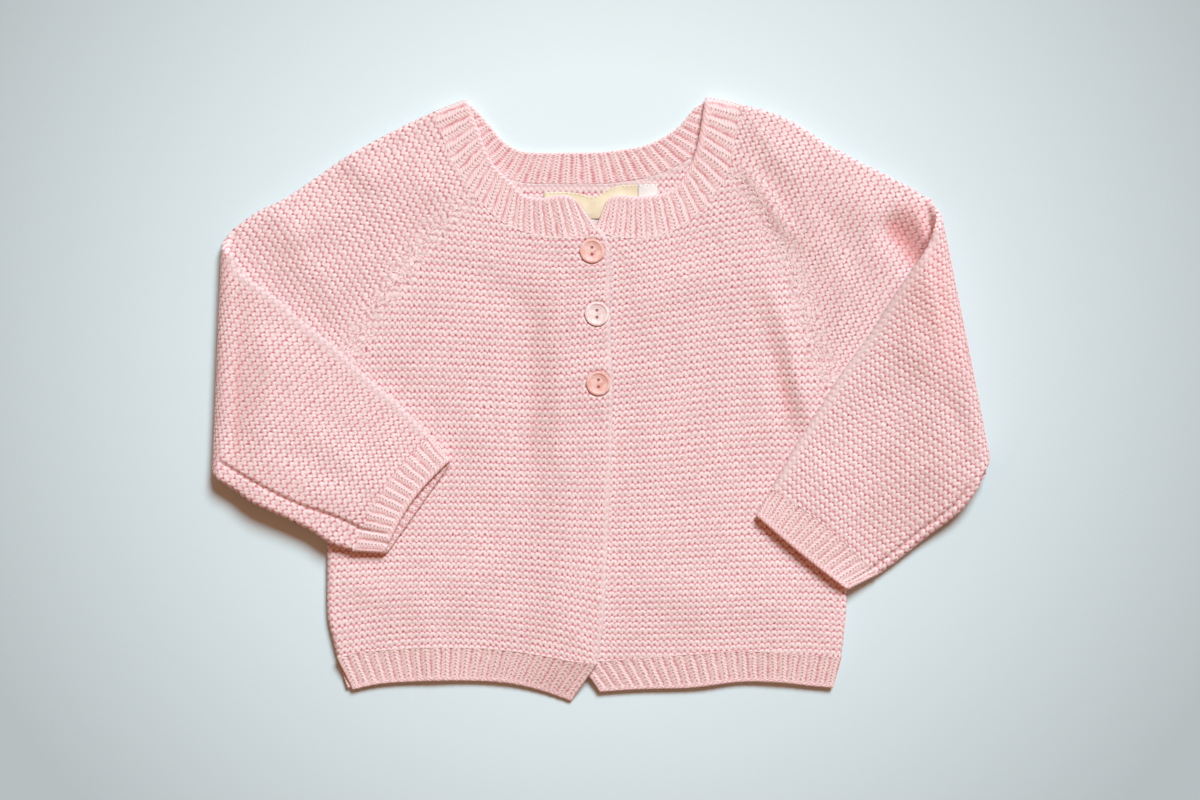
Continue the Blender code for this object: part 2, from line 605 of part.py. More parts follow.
def sleeve(side):
    table = SLEEVES[side]
    elbow = Elbow(side)
    turn = 1 if side == "right" else -1     # the sleeve's inside lies to the left of its upper fold, or right
    steps = NECK_STEPS + RAGLAN_STEPS

    def inset(path, share, sign):
        normal = path.left(share) * turn * sign
        return path.at(share) + normal * ROLL, -normal

    # the end at the neck and raglan, both layers
    ends = {}
    for layer, neck, raglan in (("high", NECK_SLEEVE[side], RAGLAN_FRONT[side]),
                                ("low", NECK_SLEEVE_BACK[side], RAGLAN_BACK[side])):
        gap = -turn * SEAM_GAP
        along = [raglan.at(i / RAGLAN_STEPS) + raglan.left(i / RAGLAN_STEPS) * gap
                 for i in range(RAGLAN_STEPS + 1)]
        ends[layer] = neck.points(NECK_STEPS)[::-1][:-1] + along
    line = unit(COLLAR_FREE[side].at(1.0) - NECK_SLEEVE[side].at(1.0))
    out_shoulder = Vector((-line.y, line.x)) * turn
    start = ends["high"][0] - out_shoulder * ROLL
    out_armpit = unit(ends["high"][-1] - ends["high"][-2])
    stop = ends["high"][-1] - out_armpit * ROLL
    for row in ends.values():
        row[0] = start
        row[-1] = stop

    # upper arm
    top_path, under_path = table["upper_top"], table["upper_under"]
    stations = [1 - (1 - i / UPPER_STEPS) ** CROWDING for i in range(UPPER_STEPS + 1)]
    tops = [inset(top_path, share, 1) for share in stations]
    unders = [inset(under_path, share, -1) for share in stations]
    last_top = elbow.on_axis(top_path.at(1.0)) + elbow.line * ROLL
    last_under = elbow.on_axis(under_path.at(1.0)) - elbow.line * ROLL
    tops[0], unders[0] = (start, out_shoulder), (stop, out_armpit)
    tops[-1], unders[-1] = (last_top, -elbow.line), (last_under, elbow.line)
    across = [i / steps for i in range(steps + 1)]
    across_line = [last_top.lerp(last_under, u) for u in across]
    layers = {layer: patch(row, across_line, [t[0] for t in tops], [u[0] for u in unders])
              for layer, row in ends.items()}
    free = cut_by(upper_outline(side), arm_span(side))
    outer, inner = [], []

    def place_upper(point, depth, layer):
        rise = relief(f"{side}_upper", point, free) if layer == "high" else 0.0
        return elbow.upper(point, depth) + Vector((0, 0, rise))

    for i in range(UPPER_STEPS + 1):
        rings = tube_ring(layers["high"][i], layers["low"][i], tops[i][1], unders[i][1], place_upper)
        outer.append(rings[0])
        inner.append(rings[1])

    # the fold
    low_top, low_under = table["lower_top"], table["lower_under"]
    first_top = elbow.on_axis(low_top.at(0.0)) + elbow.line * ROLL
    first_under = elbow.on_axis(low_under.at(0.0)) - elbow.line * ROLL
    for k in range(1, FOLD_STEPS):
        share = k / FOLD_STEPS
        high, low = last_top.lerp(first_top, share), last_under.lerp(first_under, share)
        row = [high.lerp(low, u) for u in across]
        rings = tube_ring(row, row, -elbow.line, elbow.line,
                          lambda point, depth, layer, share=share: elbow.bend(point, depth, share))
        outer.append(rings[0])
        inner.append(rings[1])

    # forearm, turned over: the layer that was underneath is now on top
    span = arm_span(side)

    def place_lower(point, depth, layer):
        rise = relief(f"{side}_lower", point, span) if layer == "low" else 0.0
        return elbow.lower(point, depth) + Vector((0, 0, rise))

    for i in range(LOWER_STEPS + 1):
        share = (i / LOWER_STEPS) ** CROWDING
        high, out_high = inset(low_top, share, -1)
        low, out_low = inset(low_under, share, 1)
        if i == 0:
            high, out_high, low, out_low = first_top, -elbow.line, first_under, elbow.line
        bow = Vector(table["cuff_bow"]) * share
        row = [high.lerp(low, u) + bow * math.sin(math.pi * u) for u in across]
        rings = tube_ring(row, row, out_high, out_low, place_lower)
        outer.append(rings[0])
        inner.append(rings[1])
    wall(f"{side}_sleeve", outer, inner, ring=True)


def cuff(side):
    table = SLEEVES[side]
    elbow = Elbow(side)
    edge = [Vector(p) for p in table["cuff_edge"]]
    seam = [table["lower_top"].at(1.0), table["lower_under"].at(1.0)]
    hang = unit(edge[0] - seam[0] + edge[1] - seam[1])
    shares = rib_shares(table["ribs"])
    outer, inner = [], []
    for near_edge in (False, True):
        ends = edge if near_edge else [p + hang * CUFF_GAP for p in seam]
        across = unit(ends[1] - ends[0])
        high, low = ends[0] + across * ROLL, ends[1] - across * ROLL
        bow = Vector(table["cuff_bow"]) * (0.0 if near_edge else 1.0)
        set_back = hang * (-table["cuff_step"] if near_edge else 0.0)
        rings = []
        for radius, skin in ((ROLL, 0.0), (CORE, WALL)):
            def rib(share, height, depth, away):
                groove = 0.0 if skin else RIB_DEPTH * (1 - height)
                swell = math.sin(math.pi * share)
                spot = high.lerp(low, share) + bow * swell
                spot += away * (CUFF_STEP_ENDS + (1 - CUFF_STEP_ENDS) * swell)
                return elbow.lower(spot, depth + (groove if depth < ROLL else -groove))

            ring = [rib(share, height, TUBE - skin, Vector((0, 0))) for share, height in shares]
            for degrees in TUBE_ANGLES:
                angle = math.radians(degrees)
                spot = low + across * radius * math.sin(angle) + set_back * CUFF_STEP_ENDS * degrees / 180.0
                ring.append(elbow.lower(spot, ROLL + radius * math.cos(angle)))
            ring += [rib(share, height, skin, set_back) for share, height in shares[::-1]]
            for degrees in TUBE_ANGLES[::-1]:
                angle = math.radians(degrees)
                spot = high - across * radius * math.sin(angle) + set_back * CUFF_STEP_ENDS * degrees / 180.0
                ring.append(elbow.lower(spot, ROLL + radius * math.cos(angle)))
            rings.append(ring)
        outer.append(rings[0])
        inner.append(rings[1])
    wall(f"cuff_{side}", outer, inner, "yarn_rib", ring=True)


# Labels and buttons

def label(row):
    x_from, x_to = row["x"]
    top_skin, under_skin = [], []
    for i in range(LABEL_STEPS + 1):
        share = i / LABEL_STEPS
        x = x_from + (x_to - x_from) * share
        straight = row["top"][0] + (row["top"][1] - row["top"][0]) * share
        high = straight - row["sag"] * math.sin(math.pi * share)
        edges = Vector((x, high)), Vector((x, row["foot"]))
        top_skin.append([plan(p, LABEL_RISE + LABEL_THICKNESS) for p in edges])
        under_skin.append([plan(p, LABEL_RISE) for p in edges])
    wall(row["name"], top_skin, under_skin, row["colour"])


def button(number, x, y):
    """A turned disc with a raised rim and a shallow dish, and two sewing holes."""
    half = BUTTON_THICKNESS / 2
    profile = ([(radius, half - depth) for radius, depth in BUTTON_TOP]
               + [(radius, height - half) for radius, height in BUTTON_UNDERSIDE])
    mesh = bpy.data.meshes.new(f"button_{number}")
    bm = bmesh.new()
    corners = [bm.verts.new((radius * MM, 0.0, height * MM)) for radius, height in profile]
    for a, b in zip(corners, corners[1:]):
        bm.edges.new((a, b))
    bmesh.ops.spin(bm, geom=bm.verts[:] + bm.edges[:], cent=(0, 0, 0), axis=(0, 0, 1),
                   angle=math.tau, steps=BUTTON_TURN_STEPS, use_merge=True)
    bmesh.ops.remove_doubles(bm, verts=bm.verts, dist=1e-5)
    bmesh.ops.recalc_face_normals(bm, faces=bm.faces)
    bm.to_mesh(mesh)
    bm.free()
    mesh.shade_smooth()
    mesh.set_sharp_from_angle(angle=math.radians(BUTTON_SHARP))
    disc = new_object(f"button_{number}", mesh, "button")
    disc.location = plan(Vector((x, y)), FRONT_TOP + LAP_RISE + BUTTON_STAND + half) * MM
    for k, sign in enumerate((-1, 1)):
        bpy.ops.mesh.primitive_cylinder_add(vertices=BUTTON_HOLE_SIDES, radius=BUTTON_HOLE_RADIUS * MM,
                                            depth=3 * BUTTON_THICKNESS * MM)
        cutter = bpy.context.object
        cutter.name = f"button_{number}_hole_{k}"
        cutter.location = disc.location + Vector((0, sign * BUTTON_HOLE_SPACING / 2, 0)) * MM
        for home in cutter.users_collection:
            home.objects.unlink(cutter)
        CUTTERS.objects.link(cutter)
        cutter.hide_render = True
        cutter.display_type = "WIRE"
        cut = disc.modifiers.new(f"hole_{k}", "BOOLEAN")
        cut.operation = "DIFFERENCE"
        cut.object = cutter


for old in list(bpy.data.objects):
    bpy.data.objects.remove(old, do_unlink=True)
CARDIGAN = bpy.data.collections.new("baby_cardigan")
CUTTERS = bpy.data.collections.new("cutters")
bpy.context.scene.collection.children.link(CARDIGAN)
bpy.context.scene.collection.children.link(CUTTERS)

back()
hem_back()
for wearer_side in ("right", "left"):
    front(wearer_side)
    hem_front(wearer_side)
    sleeve(wearer_side)
    cuff(wearer_side)
neckband()
for label_row in LABELS:
    label(label_row)
for index, (button_x, button_y) in enumerate(BUTTON_PLACES, start=1):
    button(index, button_x, button_y)
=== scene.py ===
import math
from functools import partial

import bmesh
import bpy
import numpy as np
from mathutils import Matrix, Vector


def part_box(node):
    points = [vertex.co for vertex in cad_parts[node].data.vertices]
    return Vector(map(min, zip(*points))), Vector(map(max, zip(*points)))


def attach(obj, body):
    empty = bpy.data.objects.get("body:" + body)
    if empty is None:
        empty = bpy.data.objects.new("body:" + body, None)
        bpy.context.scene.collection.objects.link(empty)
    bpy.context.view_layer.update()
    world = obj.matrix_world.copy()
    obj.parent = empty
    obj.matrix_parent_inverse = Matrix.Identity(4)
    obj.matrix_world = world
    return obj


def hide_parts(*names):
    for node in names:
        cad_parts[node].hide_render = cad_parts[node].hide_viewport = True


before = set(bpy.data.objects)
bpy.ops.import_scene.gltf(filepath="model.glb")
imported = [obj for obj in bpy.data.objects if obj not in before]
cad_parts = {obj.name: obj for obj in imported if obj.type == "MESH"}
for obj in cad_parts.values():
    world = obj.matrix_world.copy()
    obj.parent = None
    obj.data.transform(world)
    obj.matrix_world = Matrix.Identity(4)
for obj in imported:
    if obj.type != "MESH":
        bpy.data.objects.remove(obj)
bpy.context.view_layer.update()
print("cardigan: frame loaded")

# Lengths are in millimetres up to the meshes, which are in metres. x grows towards the wearer's left, y to the neck.
mm = 0.001
middle = np.array((0.225, 0.69))  # the whole cardigan's middle in the tables' coordinates
cloth = {"wall": 2.4, "gap": 0.9, "armGap": 0.5,  # one layer, the air between back and front, and under a forearm
         "seam": 0.3, "settle": 48.0}  # from a panel to its rib, and how far a forearm takes to come down from the fold
backTop = cloth["wall"]
frontBase = cloth["wall"] + cloth["gap"]
frontTop = frontBase + cloth["wall"]
tube = frontTop  # a flattened sleeve, both layers
roll = tube / 2  # radius of a turned edge
armTop = frontTop + cloth["armGap"] + tube
foldTop = 14.6  # the fold at the elbow stands higher
lapRise, lapStart, lapEnd = 2.7, -29.0, -14.0  # the right front climbs on to the left front
lapFold = {"middle": 8.0, "half": 62.0, "aside": 8.0, "slack": 22.0}  # folded sharply round this y, slack elsewhere
turn = {"right": 1, "left": -1}


def smoothStep(value):
    t = np.clip(value, 0.0, 1.0)
    return t * t * (3.0 - 2.0 * t)


def unit(vector):
    return vector / max(np.linalg.norm(vector), 1e-9)


class Curve:
    # a smooth curve in plan through a few points, read by its share of length from 0 to 1
    def __init__(self, *points):
        steps = 12  # straight pieces between two points
        p = np.array(points, float)
        span = np.linalg.norm(np.diff(p, axis=0), axis=1)
        slope = np.empty_like(p)
        slope[0] = (p[1] - p[0]) / span[0]
        slope[-1] = (p[-1] - p[-2]) / span[-1]
        slope[1:-1] = (p[2:] - p[:-2]) / (span[1:] + span[:-1])[:, None]
        runs = [p[:1]]
        for i, length in enumerate(span):
            t = (np.arange(1, steps + 1) / steps)[:, None]
            runs.append(p[i] * (2 * t**3 - 3 * t**2 + 1) + slope[i] * length * (t**3 - 2 * t**2 + t)
                        + p[i + 1] * (3 * t**2 - 2 * t**3) + slope[i + 1] * length * (t**3 - t**2))
        self.dense = np.concatenate(runs)
        self.marks = np.concatenate(([0.0], np.cumsum(np.linalg.norm(np.diff(self.dense, axis=0), axis=1))))
        self.length = self.marks[-1]

    def at(self, share):
        goal = np.clip(share, 0.0, 1.0) * self.length
        return np.stack([np.interp(goal, self.marks, self.dense[:, k]) for k in (0, 1)], -1)

    def left(self, share):
        share = np.asarray(share, float)
        along = self.at(share + 0.01) - self.at(share - 0.01)
        along = along / np.linalg.norm(along, axis=-1, keepdims=True)
        return np.stack((-along[..., 1], along[..., 0]), -1)

    def points(self, steps):
        return self.at(np.arange(steps + 1) / steps)


# Outlines in plan, the same as the solids'
neckCentre = {
    "right": Curve((-1.8, 94.2), (-6.2, 91.0), (-12.5, 88.2), (-22.5, 88.4), (-33.2, 89.5), (-47.7, 94.0),
        (-58.2, 100.6), (-68.5, 111.5)),
    "left": Curve((-6.4, 95.8), (-3.4, 94.2), (0.8, 91.4), (7.0, 89.2), (15.8, 88.3), (27.0, 89.0), (36.2, 91.2),
        (44.1, 94.9), (55.7, 104.8), (64.6, 116.0), (69.5, 124.0)),
}
neckSleeve = {
    "right": Curve((-68.5, 111.5), (-76.2, 122.9), (-82.6, 134.5), (-87.4, 147.0), (-90.3, 157.6)),
    "left": Curve((69.5, 124.0), (71.8, 136.5), (74.4, 150.0), (76.0, 161.2)),
}
neckSleeveBack = {
    "right": Curve((-61.0, 127.0), (-73.0, 138.0), (-84.0, 149.0), (-90.3, 157.6)),
    "left": Curve((52.0, 133.5), (60.0, 142.0), (69.0, 152.5), (76.0, 161.2)),
}
neckBack = Curve((-61.0, 127.0), (-53.0, 121.6), (-42.0, 118.0), (-26.0, 117.4), (0.0, 117.4), (12.0, 118.6),
    (25.6, 121.0), (39.0, 126.0), (52.0, 133.5))
raglanFront = {
    "right": Curve((-68.5, 111.5), (-91.4, 92.5), (-107.2, 71.8), (-124.0, 46.5), (-132.6, 33.6), (-147.4, 1.0)),
    "left": Curve((69.5, 124.0), (84.9, 111.0), (93.6, 91.7), (101.7, 76.0), (108.8, 58.4), (114.6, 37.0),
        (130.0, 0.0)),
}
raglanBack = {
    "right": Curve((-61.0, 127.0), (-88.0, 99.0), (-118.0, 56.0), (-147.4, 1.0)),
    "left": Curve((52.0, 133.5), (79.0, 104.0), (106.0, 58.0), (130.0, 0.0)),
}
side = {
    "right": Curve((-147.4, 1.0), (-149.1, -40.0), (-149.1, -90.0), (-148.9, -117.0), (-146.9, -127.3),
        (-143.6, -140.6)),
    "left": Curve((130.0, 0.0), (132.4, -50.0), (133.8, -106.8), (132.7, -123.5), (130.7, -140.6)),
}
centreEdge = {
    "right": Curve((-1.8, 94.2), (1.2, 91.0), (3.6, 86.0), (4.7, 79.0), (4.7, 42.0), (5.9, 6.0), (5.8, -25.0),
        (4.2, -58.0), (3.2, -84.0), (2.0, -110.0), (0.6, -126.0), (-2.4, -143.6)),
    "left": Curve((-6.4, 95.8), (-6.8, 30.0), (-7.0, -60.0), (-8.0, -110.0), (-12.2, -142.2)),
}
hemTop = {
    "right": Curve((-2.4, -143.6), (-14.0, -142.6), (-30.0, -139.6), (-49.0, -136.8), (-69.6, -135.2),
        (-100.0, -135.2), (-118.0, -136.4), (-131.0, -137.4), (-143.6, -140.6)),
    "left": Curve((-12.2, -142.2), (6.0, -142.0), (21.0, -140.8), (50.0, -138.6), (76.7, -137.0), (108.0, -138.6),
        (130.7, -140.6)),
}
hemFoot = {
    "right": Curve((-16.4, -164.0), (-33.2, -158.2), (-49.0, -154.6), (-69.6, -153.0), (-100.6, -153.4),
        (-121.0, -154.8), (-135.2, -157.8)),
    "left": Curve((-0.6, -159.0), (21.2, -157.6), (49.5, -156.8), (76.7, -153.6), (97.4, -154.1), (113.0, -155.7),
        (126.2, -156.9)),
}
hemTopBack = Curve((-143.6, -140.6), (-131.0, -137.4), (-118.0, -136.4), (-69.6, -135.6), (0.0, -136.4),
    (76.7, -137.0), (108.0, -138.6), (130.7, -140.6))
hemFootBack = Curve((-138.0, -157.2), (-124.0, -152.6), (-100.0, -150.8), (-3.8, -151.2), (76.7, -151.6),
    (110.0, -153.6), (126.4, -155.6))
collarFree = {
    "right": Curve((-12.2, 106.6), (-15.6, 110.2), (-21.6, 111.6), (-32.1, 110.0), (-42.4, 111.9), (-48.8, 118.8),
        (-56.6, 126.0), (-60.9, 132.4), (-64.0, 140.0), (-67.2, 148.6), (-72.4, 161.4)),
    "left": Curve((3.0, 108.6), (6.4, 111.0), (12.0, 111.4), (20.4, 110.9), (31.0, 112.0), (40.2, 115.4),
        (45.6, 122.4), (50.0, 131.0), (52.6, 140.0), (54.4, 150.0), (56.4, 162.6)),
}
collarFreeBack = Curve((-72.4, 161.4), (-69.6, 159.6), (-61.5, 150.8), (-55.4, 143.4), (-49.7, 138.4), (-41.0, 135.3),
    (-19.6, 135.0), (-0.5, 135.2), (13.8, 136.9), (23.2, 138.6), (33.6, 143.1), (42.0, 149.0), (50.7, 158.8),
    (56.4, 162.6))

# Sleeves. cuffStep is how far the cuff's under face hangs past its upper one, cut the flat size, and underSeam the
# long seam's line (or the edge itself), how far inward it lies, its depth, and where past the fold it starts and over
# how much. rowHeading is the heading of the rows at the shoulder, the fold, a little past it and the cuff.
sleeves = {
    "right": {
        "elbow": ((-206.3, 92.0), (-211.3, -34.0)),
        "upperTop": Curve((-90.3, 157.6), (-114.8, 145.8), (-136.5, 134.0), (-154.2, 122.2), (-171.9, 110.0),
            (-182.2, 105.2), (-190.9, 100.2), (-199.2, 94.0)),
        "upperUnder": Curve((-147.4, 1.0), (-176.0, -19.0), (-204.0, -36.0)),
        "lowerTop": Curve((-200.0, 79.0), (-196.0, 70.5), (-175.7, 55.5), (-163.7, 44.6), (-145.2, 29.9),
            (-127.3, 13.1), (-108.8, -2.7), (-92.8, -19.2)),
        "lowerUnder": Curve((-204.6, -45.8), (-199.8, -48.8), (-189.9, -55.7), (-171.5, -64.2), (-157.3, -71.3),
            (-148.0, -77.6), (-134.6, -82.3)),
        "cuffBow": (-4.4, 2.6), "cuffEdge": ((-80.8, -33.0), (-116.8, -84.0)), "cuffStep": 5.0, "ribs": 13,
        "cut": (236, 262),
        "underSeam": (
            Curve((-212.0, -30.4), (-206.2, -34.3), (-183.9, -47.3), (-163.7, -57.1), (-147.4, -62.6),
                (-138.2, -66.4), (-126.0, -72.6), (-114.0, -79.0)),
            0.0, 1.8, -5.0, 4.0),
        "shoulderMiddle": (-60.0, 112.0), "elbowMiddle": (-203.0, 24.0), "rowHeading": (-60.0, -52.0, -47.0, -56.0),
    },
    "left": {
        "elbow": ((185.4, 99.0), (211.3, -30.0)),
        "upperTop": Curve((76.0, 161.2), (91.9, 157.1), (102.8, 152.6), (112.3, 147.0), (121.9, 140.3),
            (140.9, 129.9), (162.7, 119.0), (171.4, 114.0), (177.2, 109.6)),
        "upperUnder": Curve((130.0, 0.0), (166.0, -14.0), (205.0, -27.0)),
        "lowerTop": Curve((180.0, 92.0), (177.0, 83.6), (168.9, 71.3), (159.4, 57.1), (145.8, 35.4), (132.2, 16.9),
            (120.2, -2.2), (106.6, -23.2), (92.4, -48.5)),
        "lowerUnder": Curve((207.4, -41.4), (204.4, -48.6), (196.4, -59.6), (174.6, -76.8), (160.5, -88.2),
            (150.2, -95.6)),
        "cuffBow": (2.0, 2.6), "cuffEdge": ((84.0, -62.6), (134.2, -103.4)), "cuffStep": -1.0, "ribs": 14,
        "cut": (238, 268), "underSeam": (None, 4.6, 2.0, 3.0, 9.0), "shoulderMiddle": (48.0, 116.0),
        "elbowMiddle": (196.0, 34.0), "rowHeading": (-116.0, -126.0, -124.5, -116.0),
    },
}
cuff = {"stepEnds": 0.3, "groove": 0.8, "seam": 1.3}  # shares of the step, the seam's groove and the gap at the cuff

# Soft rolls and creases: middle x, y, heading, half length, half width, height. The first ones of each piece are
# the solids' own.
puff = {"right_front": 0.9, "left_front": 0.9, "right_upper": 1.4, "left_upper": 2.2,
        "right_lower": 1.2, "left_lower": 1.2}
puffReach = 26.0  # the puff grows over this length from a seam
creases = {
    "right_front": ((-40.0, 20.0, 84.0, 60.0, 10.0, 0.9), (-95.0, -100.0, 8.0, 42.0, 12.0, 0.8),
        (-60.0, 62.0, 150.0, 30.0, 9.0, -0.6)),
    "left_front": ((104.0, 20.0, 96.0, 46.0, 9.0, -1.1), (88.0, 24.0, 94.0, 46.0, 8.0, 0.9),
        (40.0, -104.0, -4.0, 48.0, 12.0, 0.8), (44.0, 60.0, 24.0, 28.0, 9.0, 0.6)),
    "right_upper": ((-172.0, 84.0, -44.0, 30.0, 8.0, 0.5), (-132.0, 96.0, 62.0, 36.0, 9.0, -0.7),
        (-112.0, 118.0, 60.0, 26.0, 8.0, 0.8)),
    "left_upper": ((146.0, 96.0, -68.0, 30.0, 10.0, 0.7), (126.0, 96.0, -52.0, 34.0, 8.0, -0.6),
        (104.0, 122.0, -58.0, 26.0, 8.0, 0.5)),
    "right_lower": ((-180.0, -2.0, 82.0, 40.0, 11.0, 1.2), (-140.0, -30.0, -36.0, 40.0, 10.0, 0.9),
        (-186.0, 46.0, -30.0, 22.0, 8.0, -0.8)),
    "left_lower": ((182.0, 6.0, -72.0, 44.0, 11.0, 1.3), (146.0, -30.0, 40.0, 36.0, 10.0, 0.8),
        (168.0, 52.0, -58.0, 26.0, 8.0, -0.8)),
}
buttonPlaces = (-4.9, 81.0), (-2.2, 46.8), (-1.4, 9.0)
buttonPress = 24.0  # the soft rolls grow over this length from a button
buttonSeat = {"from": 5.9, "to": 8.0, "rise": 1.1, "reach": 9.0}  # the cloth stands up round the buttons

# Broad rolls, steps and dents of a whole layer in the same six numbers. The two tables of the left elbow's pocket and
# the left forearm move no cloth: they only set painted shade, the pocket's shadow and the forearm turned from the
# light.
swells = {
    "body": ((103.0, 24.0, -75.0, 44.0, 6.0, 2.6), (114.0, 27.0, -75.0, 44.0, 14.0, 1.2),
        (91.0, 22.0, -75.0, 40.0, 7.0, -0.7), (91.5, 107.0, -56.0, 24.0, 5.5, 1.8),
        (166.0, 83.0, -52.0, 20.0, 9.0, -3.2), (179.0, 94.0, -52.0, 20.0, 9.0, 2.3),
        (124.0, 128.0, -27.0, 50.0, 10.0, 0.9), (-171.0, 94.0, -45.0, 14.0, 6.5, 1.1),
        (-164.0, 101.0, -45.0, 15.0, 12.0, 0.9), (-131.0, 125.0, -48.0, 14.0, 7.0, 1.1),
        (-124.0, 131.0, -48.0, 14.0, 12.0, 0.8), (56.0, 146.0, 94.0, 20.0, 7.0, 2.2),
        (-92.0, -132.0, 96.0, 26.0, 9.0, 0.9), (-52.0, -134.0, 84.0, 22.0, 8.0, 0.7),
        (58.0, -134.0, 92.0, 26.0, 9.0, 0.8), (98.0, -132.0, 82.0, 24.0, 9.0, 0.8),
        (-40.0, 2.0, 90.0, 50.0, 10.0, -1.9)),
    "rightArm": ((-208.0, 10.0, 90.0, 66.0, 11.0, -1.6), (-176.0, 30.0, 60.0, 30.0, 8.0, 0.9),
        (-150.0, -50.0, -28.0, 30.0, 8.0, 0.8), (-128.0, -28.0, -52.0, 24.0, 9.0, -0.4)),
    "leftPitShade": ((171.0, 90.0, -52.0, 17.0, 10.0, 1.1),), "leftArmShade": ((190.0, 50.0, -75.0, 46.0, 24.0, 0.45),),
    "leftArm": ((180.0, 82.0, -28.0, 44.0, 36.0, 2.2), (186.0, 40.0, -78.0, 34.0, 9.0, 1.0),
        (160.0, -44.0, 38.0, 34.0, 9.0, 0.9), (138.0, -14.0, 52.0, 28.0, 9.0, -0.8),
        (178.0, 4.0, -40.0, 28.0, 9.0, -0.8)),
}
foldRise = {"right": (-3.2, 16.0), "left": (3.0, 34.0)}  # the fold at the elbow lower or higher, and how far inward
underSag = {"right": (-1.6, 30.0), "left": (5.0, 58.0)}  # the forearm sinks towards its underarm edge, and how far up
groove = {"width": 1.1, "step": 0.5, "stepOver": 2.5}  # the forearm's long seam, and the lower side of it
bodyEdge = 124.0, 26.0  # the forearm lies on the body up to this x, and how far beyond it is free to sink


def seamGroove(which, points):
    # depth of the forearm's long seam, which lies in a groove with its outer side lower
    line, inward, deep = sleeves[which]["underSeam"][:3]
    line = (line or sleeves[which]["lowerUnder"]).points(50)
    near, spot, k = nearestOn(points, line, closed=False)
    run = line[k + 1] - line[k]
    off = points - spot
    across = np.where(turn[which] * (run[:, 0] * off[:, 1] - run[:, 1] * off[:, 0]) < 0, near, -near) + inward
    step = groove["step"] * smoothStep(across / groove["stepOver"])
    return deep * (np.exp(-((across / groove["width"]) ** 2)) + step)


def sagAt(which, points):
    # how far the forearm sinks towards its underarm edge, where the body doesn't hold it up
    deep, reach = underSag[which]
    line = np.concatenate((sleeves[which]["lowerUnder"].points(12), np.array(sleeves[which]["cuffEdge"][1:])))
    free = smoothStep((np.abs(points[:, 0]) - bodyEdge[0]) / bodyEdge[1])
    return deep * free * smoothStep(1 - nearestOn(points, line, closed=False)[0] / reach)


def isInside(points, outline):
    # which points lie in a closed outline
    inside = np.zeros(len(points), bool)
    x, y = points[:, 0], points[:, 1]
    for a, b in zip(outline, np.roll(outline, -1, axis=0)):
        if a[1] == b[1]:
            continue
        inside ^= ((a[1] > y) != (b[1] > y)) & (x < a[0] + (y - a[1]) * (b[0] - a[0]) / (b[1] - a[1]))
    return inside


def nearestOn(points, outline, closed=True):
    # distance to an outline, the nearest point on it and the number of the edge that holds that point
    best = np.full(len(points), 1e9)
    spot = np.zeros_like(points)
    which = np.zeros(len(points), int)
    ends = np.roll(outline, -1, axis=0) if closed else outline[1:]
    for k, (a, b) in enumerate(zip(outline, ends)):
        edge = b - a
        length = edge @ edge
        if length < 1e-9:
            continue
        t = np.clip(((points - a) @ edge) / length, 0.0, 1.0)
        on = a + t[:, None] * edge
        away = np.hypot(*(points - on).T)
        closer = away < best
        best[closer] = away[closer]
        spot[closer] = on[closer]
        which[closer] = k
    return best, spot, which


def rollsAt(table, points):
    # height of a table's rolls and creases
    height = np.zeros(len(points))
    for x, y, heading, halfLength, halfWidth, rise in table:
        away = points - (x, y)
        angle = math.radians(heading)
        along = away[:, 0] * math.cos(angle) + away[:, 1] * math.sin(angle)
        across = away[:, 1] * math.cos(angle) - away[:, 0] * math.sin(angle)
        height += rise * np.exp(-((along / halfLength) ** 4) - (across / halfWidth) ** 2)
    return height


def reliefAt(piece, points, outline):
    # height of the soft rolls and creases, none at the seams and under what lies on the piece
    height = np.maximum(puff[piece] + rollsAt(creases[piece], points), 0.0)
    if piece == "right_front":
        for spot in buttonPlaces:
            height *= smoothStep(np.hypot(*(points - spot).T) / buttonPress)
    height *= smoothStep(nearestOn(points, outline)[0] / puffReach)
    return np.where(isInside(points, outline), height, 0.0)


def lap(points):
    # how far the right front climbs on to the left one
    sharp = np.exp(-((points[:, 1] - lapFold["middle"]) / lapFold["half"]) ** 2)
    start = lapStart - lapFold["aside"] * sharp - lapFold["slack"] * (1 - sharp)
    end = lapEnd - lapFold["aside"] * sharp
    return lapRise * smoothStep((points[:, 0] - start) / (end - start))


def swellAt(layer, points):
    # broad rolls, steps and dents that run on across the seams of a layer
    return rollsAt(swells[layer], points)


def armSpan(which):
    # outline of a forearm with its cuff
    table = sleeves[which]
    return np.concatenate((table["lowerTop"].points(8), np.array(table["cuffEdge"]),
                           table["lowerUnder"].points(8)[::-1]))


def cutBy(outline, cover):
    # the part of a closed outline that a cover leaves free, with the cover's edge across it
    free = outline[~isInside(outline, cover)]
    start = int(np.argmax(np.linalg.norm(free - np.roll(free, 1, axis=0), axis=1)))
    run = np.roll(free, -start, axis=0)
    inner = cover[isInside(cover, outline)]
    if np.linalg.norm(inner[0] - run[-1]) > np.linalg.norm(inner[-1] - run[-1]):
        inner = inner[::-1]
    return np.concatenate((run, inner))


def frontOutline(which):
    # outline of a front up to the lap's edge
    return np.concatenate((neckCentre[which].points(10)[1:-1], raglanFront[which].points(16)[:-1],
                           side[which].points(16)[:-1], hemTop[which].points(10)[::-1][:-1],
                           centreEdge["right"].points(16)[::-1]))


def upperOutline(which):
    # outline of an upper arm
    table = sleeves[which]
    return np.concatenate((neckSleeve[which].points(6)[::-1][:-1], raglanFront[which].points(16)[:-1],
                           table["upperUnder"].points(6)[:-1], table["upperTop"].points(12)[::-1][:-1]))


def hexColour(code):
    # sRGB hex to linear
    channels = [int(code[i:i + 2], 16) / 255 for i in (0, 2, 4)]
    return [c / 12.92 if c <= 0.04045 else ((c + 0.055) / 1.055) ** 2.4 for c in channels] + [1.0]


